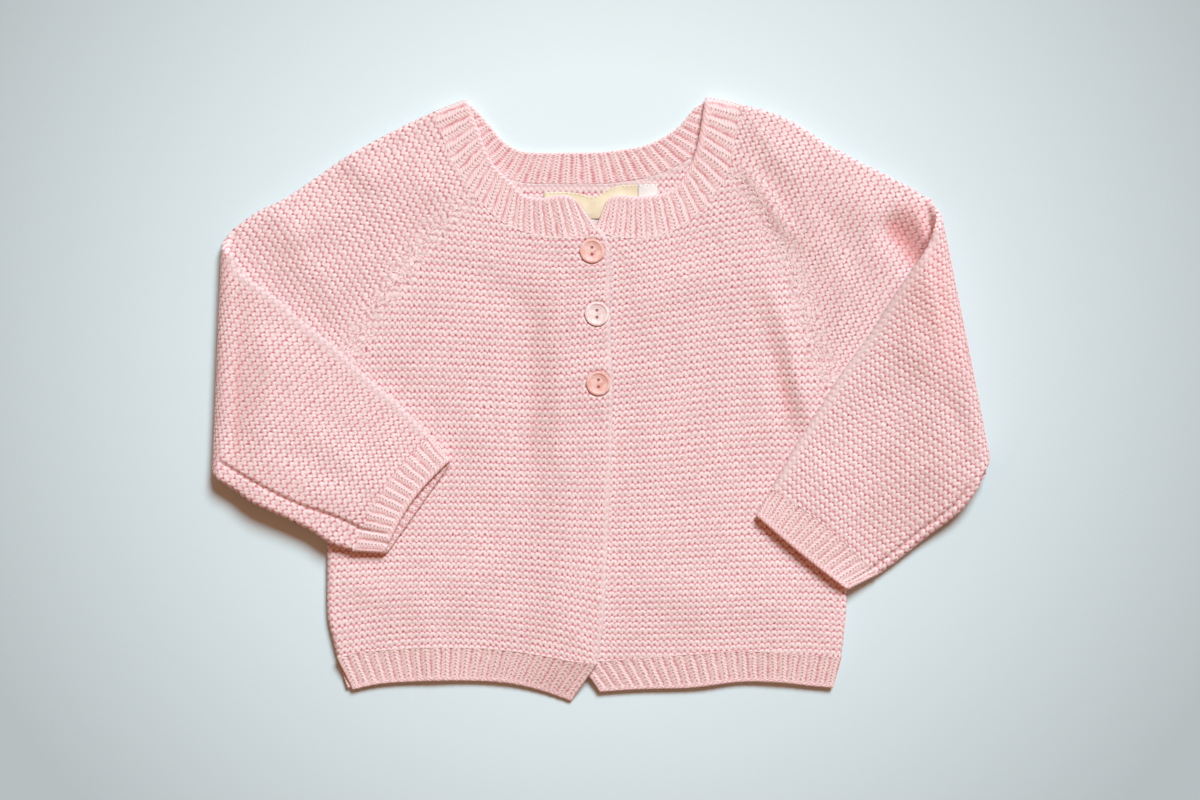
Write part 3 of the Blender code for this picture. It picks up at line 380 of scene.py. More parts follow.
def setSocket(socket, value):
    # linked to another node's socket, or set to a number, a vector or a colour's hex code
    if isinstance(value, bpy.types.NodeSocket):
        socket.id_data.links.new(value, socket)
    else:
        socket.default_value = hexColour(value) if isinstance(value, str) else value


def setSockets(node, **values):
    for name, value in values.items():
        setSocket(node.inputs[name.replace("_", " ")], value)


mainSetting = {"Mix": "data_type", "MapRange": "interpolation_type"}  # of the kinds where it isn't the operation


def addNode(tree, kind, *values, out=0, **named):
    # One node. kind may end in its main setting. values go to its sockets in order. Names in small letters are
    # settings and the others sockets. out picks the output, and None gives them all.
    kind, _, mode = kind.partition(".")
    node = tree.nodes.new("ShaderNode" + kind)
    if mode:
        setattr(node, mainSetting.get(kind, "operation"), mode)
    for name in [name for name in named if name.islower()]:
        setattr(node, name, named.pop(name))
    for socket, value in zip([socket for socket in node.inputs if socket.enabled], values):
        setSocket(socket, value)
    setSockets(node, **named)
    outputs = [socket for socket in node.outputs if socket.enabled]
    return outputs if out is None else outputs[out] if isinstance(out, int) else node.outputs[out]


def newMaterial(name, **sockets):
    # a material, the function that adds nodes to it, and its shader with some sockets set
    material = bpy.data.materials.new(name)
    material.use_nodes = True
    shader = material.node_tree.nodes["Principled BSDF"]
    setSockets(shader, **sockets)
    return material, partial(addNode, material.node_tree), shader


def fillMesh(bm, name, material, smooth=True):
    mesh = bpy.data.meshes.new(name)
    bm.to_mesh(mesh)
    bm.free()
    if smooth:
        mesh.shade_smooth()
    mesh.materials.append(material)
    return mesh


def addObject(name, data):
    made = bpy.data.objects.new(name, data)
    bpy.context.scene.collection.objects.link(made)
    return made


# Camera and light first, in metres
view = {"height": 2.4, "width": 0.6528, "aim": (-0.00077, -0.00069), "plane": 0.006}
cameraData = bpy.data.cameras.new("camera")
cameraData.lens = cameraData.sensor_width * (view["height"] - view["plane"]) / view["width"]
cameraData.clip_start, cameraData.clip_end = 0.01, 20.0
camera = addObject("camera", cameraData)
camera.location = (*view["aim"], view["height"])
bpy.context.scene.camera = camera
bpy.context.scene.view_settings.view_transform = "Standard"

# a broad window above the neck and a little to the right, and a pale room; angles in degrees
keyLight = {"strength": 4.19, "spread": 24, "tilt": 44, "turn": 22, "colour": "e1f4ff"}
room = {"colour": "ffb488", "strength": 0.36}
sunData = bpy.data.lights.new("keyLight", "SUN")
sunData.energy = keyLight["strength"]
sunData.angle = math.radians(keyLight["spread"])
sunData.color = hexColour(keyLight["colour"])[:3]
sun = addObject("keyLight", sunData)
sun.rotation_euler = (math.radians(-keyLight["tilt"]), 0, math.radians(-keyLight["turn"]))
world = bpy.data.worlds.new("softRoom")
bpy.context.scene.world = world
world.use_nodes = True
setSockets(world.node_tree.nodes["Background"], Color=room["colour"], Strength=room["strength"])

# Floor: a matt paper sweep with a painted pool of light, pale and cool round the cardigan and greyer away from it
paper = {"size": 6.0, "near": "e1f0f0", "far": "afbbbc", "from": 0.14, "to": 0.385, "middle": (0.0, 0.04, 0.0),
         "roughness": 0.85, "below": 0.0004}
paperMaterial, add, shader = newMaterial("mattePaperSweep", Roughness=paper["roughness"])
away = add("VectorMath.DISTANCE", add("TexCoord", out="Object"), paper["middle"])
shade = add("MapRange", away, paper["from"], paper["to"])
setSockets(shader, Base_Color=add("Mix.RGBA", shade, paper["near"], paper["far"]))
bm = bmesh.new()
bmesh.ops.create_grid(bm, x_segments=8, y_segments=8, size=paper["size"] / 2)
floor = addObject("floor", fillMesh(bm, "floor", paperMaterial, smooth=False))
floor.location.z = -paper["below"]
print("cardigan: camera, light and floor")

# Knitting
knit = {
    "stitch": 3.2, "ridge": 3.75, "columns": 4, "rows": 5,  # sizes, and points to a stitch and to a ridge
    "depth": 0.46, "proud": 0.15, "crest": 0.4, "sway": 0.12, "hole": 0.24, "hump": 0.06,  # a ridge's form
    "seamRadius": 0.18, "raglanRadius": 0.4, "raglanBackRadius": 0.6, "join": 0.22,
    "fashioned": 8.0, "selvedge": 2.6, "turned": 4.4,  # how far in from its edge each shows
    "turnedFlat": 0.4, "seamFlat": 0.2,  # the share of its height that a ridge loses there
}
rib = {
    "pitch": 5.8, "row": 1.85, "columns": 8, "edgeSteps": 5,
    "neckFront": (6.8, 0.2), "neckBack": (6.2, 0.0),  # pitch, and how much closer at the centre front
    "depth": 0.5, "proud": 0.12, "round": 0.7, "start": 0.25, "grow": 4.0, "tuck": 0.8,
    "foot": 2.0, "footFlat": 0.7, "edgeRadius": 1.2, "edgeLong": 3.7,  # the cast-off, and the way round it
}
bandWidth = {"hem": 17.5, "hemBack": 16.0, "neck": 19.0, "cuff": 17.0}


def garterHeight(u, v):
    # height of the ridges over the cloth's face, u in stitches and v in ridges
    wave = v - knit["sway"] * np.cos(2 * np.pi * u)
    ridge = 0.5 - 0.5 * np.cos(2 * np.pi * wave)
    hole = (0.5 + 0.5 * np.cos(2 * np.pi * u)) ** 2 * (1 - ridge) ** 3
    hump = -np.cos(2 * np.pi * u) * np.sin(2 * np.pi * wave) * ridge
    return knit["proud"] + knit["depth"] * (ridge ** knit["crest"] - 1) - knit["hole"] * hole + knit["hump"] * hump


def newPiece(name, mesh, nodes, slotName):
    # a piece on the cardigan's body, in place of some of its nodes
    piece = addObject(name, mesh)
    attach(piece, "root")
    if nodes:
        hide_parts(*nodes)
    return piece


def lineOf(outline):
    return np.concatenate([part[0] for part in outline])


def layOut(piece, lines, size=None):
    # the flat cut of a piece, from the outline of each of its layers; size is a tube's width all round and its length
    area = sum(abs(x @ np.roll(y, -1) - y @ np.roll(x, -1)) / 2 for x, y in (line.T for line in lines))
    width, length = size or np.ptp(lines[0], axis=0)
    print("cardigan:", piece.name, "cut", round(float(width)), round(float(length)), "area share",
          round(float(area / width / length), 3))


def gridMesh(places, rows, columns, **attributes):
    # a mesh over rows and columns of places, with its attributes, and the number of each vertex's place
    bm = bmesh.new()
    bmesh.ops.create_grid(bm, x_segments=columns - 1, y_segments=rows - 1, size=0.5)
    mesh = bpy.data.meshes.new("grid")
    bm.to_mesh(mesh)
    bm.free()
    at = np.empty(len(mesh.vertices) * 3, np.float32)
    mesh.vertices.foreach_get("co", at)
    at = (at.reshape(-1, 3)[:, :2] + 0.5) * (columns - 1, rows - 1)
    order = (np.rint(at[:, 1]) * columns + np.rint(at[:, 0])).astype(int)
    mesh.vertices.foreach_set("co", (places[order] * mm).astype(np.float32).ravel())
    for name, values in attributes.items():
        layer = mesh.attributes.new(name, "FLOAT_VECTOR", "POINT")
        layer.data.foreach_set("vector", values[order].astype(np.float32).ravel())
    return mesh, order


def uvOf(flat, stitches, spots):
    # stitch coordinates of points moved off the grid, from the grid's own slopes
    du = np.gradient(flat, axis=1) / np.gradient(stitches[..., 0], axis=1)[..., None]
    dv = np.gradient(flat, axis=0) / np.gradient(stitches[..., 1], axis=0)[..., None]
    shift = spots - flat
    det = du[..., 0] * dv[..., 1] - du[..., 1] * dv[..., 0]
    u = (shift[..., 0] * dv[..., 1] - shift[..., 1] * dv[..., 0]) / det
    v = (du[..., 0] * shift[..., 1] - du[..., 1] * shift[..., 0]) / det
    return stitches + np.stack((u, v), -1)


# painted shade for the dents of the cloth
hollows = {"reach": 6, "from": 0.1, "over": 0.6, "edge": 16.0}  # in grid steps, millimetres of dent and from edges


def makeSkin(flat, stitches, outline, lift, shadeSwells=None):
    # A grid of stitches trimmed to an outline and laid on its surface. flat holds the grid's places and stitches its
    # stitch numbers. outline is a list of (points, radius of the edge, depth of the rim, 1 where it is fashioned).
    # lift(points, drop, away) gives the places in space of points that lie drop below the face, the directions out of
    # the face there, and away, a direction in the flat, as one in space. The last argument names the swells that add
    # painted shade as dents do.
    line = lineOf(outline)
    radii, rims, fashioned = (np.concatenate([np.full(len(part[0]), float(part[k])) for part in outline])
                              for k in (1, 2, 3))
    rows, columns = flat.shape[:2]
    spots = flat.reshape(-1, 2).copy()
    inside = isInside(spots, line)
    away, near, edge = nearestOn(spots, line)
    out = np.where(inside[:, None], near - spots, spots - near) / np.maximum(away, 1e-6)[:, None]
    grown = near + out * np.where(radii[edge] == roll, 0.0, knit["join"])[:, None]
    spots[~inside] = grown[~inside]
    away = np.where(inside, away, 0.0)
    uv = uvOf(flat, stitches, spots.reshape(flat.shape)).reshape(-1, 2)
    radius = radii[edge]
    lean = np.where(radius > 1.0, np.arcsin(np.clip((radius - away) / radius, 0.0, 1.0)), 0.0)
    places, faceOut, out = lift(spots, radius * (1 - np.cos(lean)), out)
    # near 1 at a fashioned seam and near -1 at a selvedge
    reach = np.where(fashioned[edge] < 0, knit["selvedge"], knit["fashioned"])
    reach = np.where((fashioned[edge] < 0) & (radii[edge] == roll), knit["turned"], reach)
    seam = fashioned[edge] * np.exp(-(away / reach) ** 4)
    height = (garterHeight(uv[:, 0], uv[:, 1]) * (1 - knit["turnedFlat"] * np.sin(lean))
              * (1 - knit["seamFlat"] * np.abs(seam)))
    places = places + (out * np.sin(lean)[:, None] + faceOut * np.cos(lean)[:, None]) * height[:, None]

    places[:, :2] -= middle
    # how far the soft surface is dented, from its height a few stitches to each side; dents get painted shade
    soft = lift(spots, np.zeros(len(spots)), np.zeros_like(spots))[0][:, 2].reshape(rows, columns)
    reach = hollows["reach"]
    wide = np.pad(soft, reach, mode="edge")
    about = (wide[2 * reach:, reach:-reach] + wide[:-2 * reach, reach:-reach] + wide[reach:-reach, 2 * reach:]
             + wide[reach:-reach, :-2 * reach]) / 4
    hollow = smoothStep((about - soft - hollows["from"]) / hollows["over"]).ravel() * smoothStep(away / hollows["edge"])
    if shadeSwells:
        hollow = hollow + swellAt(shadeSwells, places[:, :2] + middle)
    mesh, order = gridMesh(places, rows, columns, stitches=np.column_stack((uv, seam)),
                           rim=-faceOut * rims[edge][:, None], hollow=np.stack((hollow, hollow, hollow), -1))
    corners = np.empty(len(mesh.polygons) * 4, np.int32)
    mesh.polygons.foreach_get("vertices", corners)
    kept = inside[order][corners.reshape(-1, 4)].any(1)
    grid = places.reshape(rows, columns, 3)
    normals = np.cross(grid[:-1, 1:] - grid[:-1, :-1], grid[1:, :-1] - grid[:-1, :-1])
    facing = (normals * faceOut.reshape(rows, columns, 3)[:-1, :-1]).sum(2)[inside.reshape(rows, columns)[:-1, :-1]]

    bm = bmesh.new()
    bm.from_mesh(mesh)
    bpy.data.meshes.remove(mesh)
    bmesh.ops.delete(bm, geom=[f for f, k in zip(bm.faces[:], kept) if not k], context="FACES")
    rim = bm.verts.layers.float_vector["rim"]
    edges = [e for e in bm.edges if e.is_boundary and min(v[rim].length for v in e.verts) > 0]
    for share in (0.4, 0.6):  # the rim in two steps
        made = bmesh.ops.extrude_edge_only(bm, edges=edges)["geom"]
        edges = [g for g in made if isinstance(g, bmesh.types.BMEdge)]
        for v in {v for e in edges for v in e.verts}:
            v.co += v[rim] * share * mm
    if facing.mean() < 0:
        bmesh.ops.reverse_faces(bm, faces=bm.faces[:])
    return bm


def joinMeshes(parts):
    # one bmesh of several, which are used up
    bm = bmesh.new()
    for part in parts:
        mesh = bpy.data.meshes.new("part")
        part.to_mesh(mesh)
        part.free()
        bm.from_mesh(mesh)
        bpy.data.meshes.remove(mesh)
    return bm


# Wool: matt merino with a soft halo, the yarn itself one even pink. A ridge is a wavy band of painted light, with a
# painted highlight on one half of each stitch and painted shade on the other. Between two ridges runs a zigzag line of
# painted shade with a deep hole at each of its upper turns and a shallow one at each lower turn, both in painted shade.
wool = {
    # painted light on the crests, and painted shade on the stitches' other halves, in the lines between ridges and in
    # the holes
    "crest": "fde3df", "leg": "dcc2bd", "link": "e59ba3", "shallow": "c96f7b", "deep": "a24a54",
    # selvedge is the edges' own paler tone, turned is partly painted shade on a turned edge's lit rim, and the last is
    # painted shade for dents
    "selvedge": "e6cfcc", "turned": "d6bcba", "hollow": "e2766e",
    "roughness": 0.9, "sheen": 0.2, "sheenRoughness": 0.5, "gloss": 0.15,
    "fuzz": 0.3, "fuzzShade": 0.34, "patch": 26.0, "patchShade": 0.12,  # sizes in mm, and how much they darken
    "relief": 0.35, "reliefShare": 0.6, "fuzzRelief": 0.5,
}


def woolMaterial(name):
    material, add, shader = newMaterial(
        name, Roughness=wool["roughness"], Sheen_Weight=wool["sheen"], Sheen_Roughness=wool["sheenRoughness"],
        Specular_IOR_Level=wool["gloss"])
    numbers = add("SeparateXYZ", add("Attribute", attribute_name="stitches", out="Vector"), out=None)
    return material, add, shader, numbers


def waveOf(add, value):
    # 1 at whole numbers and 0 half way between them
    return add("Math.MULTIPLY_ADD", add("Math.COSINE", add("Math.MULTIPLY", value, 2 * math.pi)), 0.5, 0.5)


def dotOf(add, *reaches):
    # 1 in the middle and fading out over each of the pairs (distance, reach)
    total = 0.0
    for distance, reach in reaches:
        total = add("Math.SUBTRACT", total, add("Math.POWER", add("Math.DIVIDE", distance, reach), 2.0))
    return add("Math.EXPONENT", total)


def finishWool(add, shader, colour, height):
    # loose fibres, slow changes of shade from patch to patch, and the fibres' own relief
    place = add("TexCoord", out="Object")
    fuzz = add("TexNoise", place, Scale=1 / (wool["fuzz"] * 2 * mm), Detail=3.0)
    patch = add("TexNoise", place, Scale=1 / (wool["patch"] * mm), Detail=2.0)
    light, slow = (add("Math.MULTIPLY_ADD", noise, share, 1 - share / 2)
                   for noise, share in ((fuzz, wool["fuzzShade"]), (patch, wool["patchShade"])))
    shaded = add("VectorMath.SCALE", colour, add("Math.MULTIPLY", light, slow))
    bump = add("Bump", Height=add("Math.MULTIPLY_ADD", fuzz, wool["fuzzRelief"], height),
               Distance=wool["relief"] * mm, Strength=wool["reliefShare"])
    setSockets(shader, Base_Color=shaded, Normal=bump)


# How the garter stitch is coloured, in painted light and painted shade. Reaches are in ridges up and down and in
# stitches sideways, shares from 0 to 1.
garter = {
    "muddle": 4.0, "slack": 0.55, "seamSlack": 1.2, "drift": 30.0, "drifting": 1.6, "shine": 0.62, "chance": 0.42,
    "link": 0.13, "linkShare": 0.8, "shallow": 0.14, "shallowShare": 0.9, "deep": (0.145, 0.17), "deepLeast": 0.5,
    "deepMore": 0.6, "seamShare": 0.22, "selvedgeShare": 0.7, "selvedgeLess": 0.45, "turnedShadeShare": 0.4,
    "paintedShadeMix": 0.56, "paintedShadeShare": 0.5, "relief": 0.3,
}


def garterMaterial():
    material, add, shader, (u, v, edge) = woolMaterial("pinkMerinoGarter")
    seam, selvedge, turned = (add("Clamp", add("Math.MULTIPLY_ADD", edge, sign, start))
                              for sign, start in ((1.0, 0.0), (-1.0, 0.0), (-1.0, -1.0)))
    # the stitches of a fashioned seam lean on each other and lose their rows
    place = add("TexCoord", out="Object")
    muddle = add("TexNoise", place, Scale=1 / (garter["muddle"] * mm), Detail=1.0, out=1)
    aside, along, _ = add("SeparateColor", muddle, out=None)
    slack = add("Math.MULTIPLY_ADD", seam, garter["seamSlack"], garter["slack"])
    drift = add("TexNoise", place, Scale=1 / (garter["drift"] * mm), Detail=0.0)
    u = add("Math.MULTIPLY_ADD", drift, garter["drifting"], u)
    u = add("Math.MULTIPLY_ADD", add("Math.SUBTRACT", aside, 0.5), slack, u)
    v = add("Math.MULTIPLY_ADD", add("Math.SUBTRACT", along, 0.5), slack, v)
    turnU = add("Math.COSINE", add("Math.MULTIPLY", u, 2 * math.pi))
    wave = add("Math.MULTIPLY_ADD", turnU, -knit["sway"], v)
    row = add("Math.ROUND", wave)
    chance = add("TexWhiteNoise", add("CombineXYZ", add("Math.ROUND", u), row, 0.5))
    up = add("Math.SUBTRACT", wave, row)  # from the groove, in ridges
    side = add("Math.PINGPONG", u, 0.5)  # from the upper turn, in stitches
    other = add("Math.SUBTRACT", 0.5, side)
    # painted highlight on one half of each stitch and painted shade on the other, mixed with random tone from stitch to
    # stitch
    shine = add("Math.MULTIPLY", turnU, add("Math.SINE", add("Math.MULTIPLY", wave, 2 * math.pi)))
    highlightAndTone = add("Math.MULTIPLY_ADD", add("Math.SUBTRACT", chance, 0.5), garter["chance"],
                add("Math.MULTIPLY_ADD", shine, -garter["shine"], 0.5))
    colour = add("Mix.RGBA", highlightAndTone, wool["leg"], wool["crest"])
    # painted shade in the line between two ridges, its shallow holes and its deep ones
    link = dotOf(add, (up, garter["link"]))
    colour = add("Mix.RGBA", add("Math.MULTIPLY", link, garter["linkShare"]), colour, wool["link"])
    shallow = dotOf(add, (other, garter["shallow"]), (up, garter["link"]))
    colour = add("Mix.RGBA", add("Math.MULTIPLY", shallow, garter["shallowShare"]), colour, wool["shallow"])
    deep = dotOf(add, (side, garter["deep"][0]), (up, garter["deep"][1]))
    often = add("Math.MULTIPLY_ADD", chance, garter["deepMore"], garter["deepLeast"])
    colour = add("Mix.RGBA", add("Math.MULTIPLY", deep, often), colour, wool["deep"])
    # the edges: fashioned seams and selvedges in their own paler tone, and selvedges that are turned, greyer, partly
    # for their flatter stitches and partly as painted shade on the roll's lit rim
    colour = add("Mix.RGBA", add("Math.MULTIPLY", seam, garter["seamShare"]), colour, wool["selvedge"])
    pale = add("Math.MULTIPLY_ADD", turned, -garter["selvedgeLess"], garter["selvedgeShare"])
    colour = add("Mix.RGBA", add("Math.MULTIPLY", selvedge, pale), colour, wool["selvedge"])
    colour = add("Mix.RGBA", add("Math.MULTIPLY", turned, garter["turnedShadeShare"]), colour, wool["turned"])
    # painted shade: the wool is darker and redder in dents and in the swells listed for it
    dent = add("Attribute", attribute_name="hollow", out="Fac")
    paintedShadeMix = add("Mix.RGBA", garter["paintedShadeMix"], colour, wool["hollow"])
    colour = add("Mix.RGBA", add("Math.MULTIPLY", dent, garter["paintedShadeShare"]), colour, paintedShadeMix)
    finishWool(add, shader, colour, add("Math.MULTIPLY", shine, -garter["relief"]))
    return material


garterWool = garterMaterial()

# The same wool in a 1x1 rib: columns of V stitches standing up, and the purl columns sunk between them. The pale
# columns are painted light, and the legs' tone, the dots down the columns and the purl grooves are painted shade.
# Reaches are in ribs and shares from 0 to 1.
ribWool = {
    "column": "fde4e0", "leg": "dfbdb8", "dot": "b58084", "ladder": "d07e85", "rung": "ebb8b8", "chain": "dd9da2",
    "muddle": 4.5, "aside": 0.34, "along": 1.6, "slope": 2.2, "legShare": 0.75, "dotReach": 0.085, "dotLeast": 0.15,
    "dotMore": 0.8, "rungShare": 0.6, "groove": 0.11, "grooveInside": 0.07, "faint": (0.36, 0.6), "grooveShare": 0.5,
    "loopSlope": 0.5, "loopShare": 0.7, "chainShare": 0.85, "relief": 0.4,
}


def ribMaterial():
    material, add, shader, (column, row, flag) = woolMaterial("pinkMerinoRib")
    inside, foot = (add("Clamp", add("Math.MULTIPLY", flag, sign)) for sign in (1.0, -1.0))
    place = add("TexCoord", out="Object")
    muddle = add("TexNoise", place, Scale=1 / (ribWool["muddle"] * mm), Detail=1.0, out=1)
    aside, along, faint = add("SeparateColor", muddle, out=None)
    column = add("Math.MULTIPLY_ADD", add("Math.SUBTRACT", aside, 0.5), ribWool["aside"], column)
    row = add("Math.MULTIPLY_ADD", add("Math.SUBTRACT", along, 0.5), ribWool["along"], row)
    across = add("Math.PINGPONG", column, 0.5)  # 0 in the middle of the groove, 0.5 on the knit column
    middle = add("Math.SUBTRACT", 0.5, across)
    # the rows turn down towards the column's middle
    legs = waveOf(add, add("Math.MULTIPLY_ADD", across, ribWool["slope"], row))
    beat = waveOf(add, row)
    colour = add("Mix.RGBA", add("Math.MULTIPLY", legs, ribWool["legShare"]), ribWool["column"], ribWool["leg"])
    dots = add("Math.MULTIPLY", dotOf(add, (middle, ribWool["dotReach"])),
               add("Math.MULTIPLY_ADD", beat, ribWool["dotMore"], ribWool["dotLeast"]))
    colour = add("Mix.RGBA", dots, colour, ribWool["dot"])
    # painted shade in the sunk purl grooves
    ladder = add("Mix.RGBA", add("Math.MULTIPLY", beat, ribWool["rungShare"]), ribWool["ladder"], ribWool["rung"])
    wide = add("Math.MULTIPLY_ADD", inside, ribWool["grooveInside"], ribWool["groove"])
    strength = add("Math.MULTIPLY_ADD", add("MapRange.SMOOTHSTEP", faint, *ribWool["faint"]),
                   1 - ribWool["grooveShare"], ribWool["grooveShare"])
    colour = add("Mix.RGBA", add("Math.MULTIPLY", dotOf(add, (across, wide)), strength), colour, ladder)
    # the cast-off is a chain of loops along the edge, two to a rib
    loops = waveOf(add, add("Math.MULTIPLY_ADD", column, 2.0, add("Math.MULTIPLY", row, ribWool["loopSlope"])))
    chain = add("Mix.RGBA", add("Math.MULTIPLY", loops, ribWool["loopShare"]), ribWool["column"], ribWool["chain"])
    colour = add("Mix.RGBA", add("Math.MULTIPLY", foot, ribWool["chainShare"]), colour, chain)
    finishWool(add, shader, colour, add("Math.MULTIPLY", legs, -ribWool["relief"]))
    return material


ribbedWool = ribMaterial()


def march(marks, v, start, table, columnsAt):
    # y of every row of stitches at every column, by following the table's row slopes sideways from the start column
    xNodes, yNodes, slopes = table
    slopes = np.array(slopes, float)

    def slopeAt(x, y):
        i = np.clip(np.interp(y, yNodes, np.arange(len(yNodes))), 0, len(yNodes) - 1.001)
        j = float(np.clip(np.interp(x, xNodes, np.arange(len(xNodes))), 0, len(xNodes) - 1.001))
        i0, j0 = i.astype(int), int(j)
        a, b = i - i0, j - j0
        return ((slopes[i0, j0] * (1 - b) + slopes[i0, j0 + 1] * b) * (1 - a)
                + (slopes[i0 + 1, j0] * (1 - b) + slopes[i0 + 1, j0 + 1] * b) * a)

    y = np.empty((len(v), len(columnsAt)))
    first = int(np.argmin(np.abs(columnsAt - start)))
    y[:, first] = marks
    for step, run in ((1, range(first, len(columnsAt) - 1)), (-1, range(first, 0, -1))):
        for k in run:
            dx = columnsAt[k + step] - columnsAt[k]
            y[:, k + step] = y[:, k] - np.tan(np.radians(slopeAt(columnsAt[k], y[:, k]))) * dx
    return y


# Slopes of the rows of the fronts in degrees, positive where they fall to the right, at a few x and y
rowSlopes = {
    "right": ((-131, -82, -49.5, -30, -17), (-130.6, -114, -81.6, -49, -16.3, 16.3, 49, 81.6),
              ((-10, 1, 7, 9, 16), (-6, 1, 5, 7, 12), (-3, 1, 3, 3, 4), (-2, 0, 1, 2, 0), (-3, 1, 3, 1, -3),
               (-3, 2, 3, 0, -6), (-2, 3, 3, 0, -6), (2, 6, 6, 4, -1))),
    "left": ((21, 54, 86.5, 119), (-130.6, -114, -81.6, -49, -16.3, 16.3, 49, 81.6),
             ((0, -1, -4, 4), (-1, -2, -2, 3), (-1, -3, -2, 0), (-3, -5, -3, 2), (-3, -6, -3, 4),
              (-7, -8, -2, -2), (-8, -9, -4, -5), (-10, -12, -6, -8))),
}
ridgeAt = ((-145, 3.38), (-110, 3.45), (-60, 3.62), (-20, 3.78), (60, 3.8), (130, 3.6))  # y, height of a ridge


def flatPlaces(points, z, up, away):
    # places of a level layer, its directions out of the face and away in space
    level = np.zeros(len(points))
    return (np.column_stack((points, z)), np.column_stack((level, level, level + up)),
            np.column_stack((away, level)))


def lapped(points):
    # the right front lies on the left one and is drawn in under its buttons
    height = lap(points)
    for centre in buttonPlaces:
        far = np.hypot(*(points - centre).T)
        seat = smoothStep((far - buttonSeat["from"]) / (buttonSeat["to"] - buttonSeat["from"]))
        height = height + buttonSeat["rise"] * seat * np.exp(-(np.maximum(far - buttonSeat["to"], 0)
                                                               / buttonSeat["reach"]) ** 2)
    return height


frontSpan = {"right": (-152.0, 8.0), "left": (-12.0, 137.0)}  # x from and to
frontStart = {"right": -70.0, "left": 70.0}  # x where the ridges are counted
frontRim = 1.2  # radius of the opening's edge
fine = 0.1  # the ridges are counted up in steps of this


def frontSkin(which):
    span = frontSpan[which]
    columnsAt = np.arange(span[0], span[1] + 1e-6, knit["stitch"] / knit["columns"])
    u = columnsAt / knit["stitch"]
    fineY = np.arange(-150.0, 150.0, fine)
    ridges = np.cumsum(fine / np.interp(fineY, *np.array(ridgeAt).T))
    v = np.arange(ridges[0], ridges[-1], 1 / knit["rows"])
    y = march(np.interp(v, ridges, fineY), v, frontStart[which], rowSlopes[which], columnsAt)
    flat = np.stack((np.broadcast_to(columnsAt, y.shape), y), -1)
    stitches = np.stack(np.broadcast_arrays(u[None, :], v[:, None]), -1)
    seamR, wall = knit["seamRadius"], cloth["wall"]
    outline = [(neckCentre[which].points(40)[:-1], seamR, wall, 0),
               (raglanFront[which].points(50)[:-1], knit["raglanRadius"], wall, 1),
               (side[which].points(50)[:-1], roll, 0, 0), (hemTop[which].points(50)[::-1][:-1], seamR, wall, 0),
               (centreEdge[which].points(60)[::-1][:-1], frontRim, wall - frontRim, -1)]
    free = cutBy(frontOutline(which), armSpan(which))

    def lift(points, drop, away):
        z = frontTop + reliefAt(f"{which}_front", points, free) + swellAt("body", points) - drop
        return flatPlaces(points, z + (lapped(points) if which == "right" else 0.0), 1.0, away)

    bm = makeSkin(flat, stitches, outline, lift)
    piece = newPiece(f"{which}FrontKnit", fillMesh(bm, f"{which}FrontKnit", garterWool), [f"{which}_front"],
                     "garter_knit")
    layOut(piece, [lineOf(outline)])


footRoom = knit["proud"] + knit["hump"]  # the ridges of the undersides stand on the surface
backSpan = {"x": (-153.0, 138.0), "y": (-145.0, 136.0), "points": (2, 3)}  # the underside, which doesn't show
neckSpan = {"x": (-76.0, 68.0), "y": (78.0, 136.0), "points": (knit["columns"], knit["rows"])}  # seen in the neck
neckWindow, windowRadius = ((60.0, 80.0), (-70.0, 80.0)), 0.1  # lower corners of what is seen there


def backSkin():
    seamR, raglanR, wall = knit["seamRadius"], knit["raglanBackRadius"], cloth["wall"]

    def level(span, outline, base, up):
        columnsAt = np.arange(*span["x"], knit["stitch"] / span["points"][0])
        rowsAt = np.arange(*span["y"], knit["ridge"] / span["points"][1])
        flat = np.stack(np.meshgrid(columnsAt, rowsAt), -1)
        return makeSkin(flat, flat / (knit["stitch"], knit["ridge"]), outline,
                        lambda points, drop, away: flatPlaces(points, base - up * drop, up, away))

    under = [(neckBack.points(40)[::-1][:-1], seamR, 0, 0),
             (raglanBack["right"].points(50)[:-1], raglanR, 0, 1),
             (side["right"].points(50)[:-1], roll, 0, 0), (hemTopBack.points(50)[:-1], seamR, 0, 0),
             (side["left"].points(50)[::-1][:-1], roll, 0, 0),
             (raglanBack["left"].points(50)[::-1][:-1], raglanR, 0, 1)]
    neck, window = neckBack.points(40), np.array(neckWindow)
    over = [(neck[:-1], seamR, wall - seamR, -1), (neck[-1:], raglanR, 0, 0), (window, windowRadius, 0, 0)]
    parts = [level(backSpan, under, footRoom, -1.0), level(neckSpan, over, backTop, 1.0)]
    piece = newPiece("backKnit", fillMesh(joinMeshes(parts), "backKnit", garterWool), ["back_panel"], "garter_knit")
    layOut(piece, [lineOf(under)])


class Elbow:
    # the flattened sleeve unfolded into one plane: a runs along the fold's axis and q out of the arm, past the fold
    def __init__(self, which):
        high, low = (np.array(p) for p in sleeves[which]["elbow"])
        self.line = unit(low - high)
        self.out = np.array((self.line[1], -self.line[0])) * turn[which]
        self.high = high - self.out * foldTop / 2

    def unfold(self, points, length=None):
        # places of the upper arm, or with the fold's length of the forearm, in the plane
        a, q = (points - self.high) @ self.line, (points - self.high) @ self.out
        return np.stack((a, q if length is None else length - q), -1)

    def inPlane(self, flat):
        return self.high + flat[..., :1] * self.line + flat[..., 1:] * self.out


# the turned look includes painted shade on the edge; less on the left, whose edge faces away from the light
turnedEdge = {"right": -2, "left": -1.2}  # how much the forearm's upper edge looks turned
cuffRim = 1.5  # depth of the rim at the cuff
beyondCuff = 12.0  # the rows go on this far past the cuff's seam
halfAround = 30.0  # stitches to each side of the sleeve's middle
showsPast = {"over": 2.0, "under": 4.0}  # a layer has all its rows up to this far past the fold
headingAt = 0.0, 0.5, 0.72, 1.0  # where along the sleeve each heading holds
easeIn = {"over": 6.0, "under": 8.0}  # the swells grow over this length from the fold


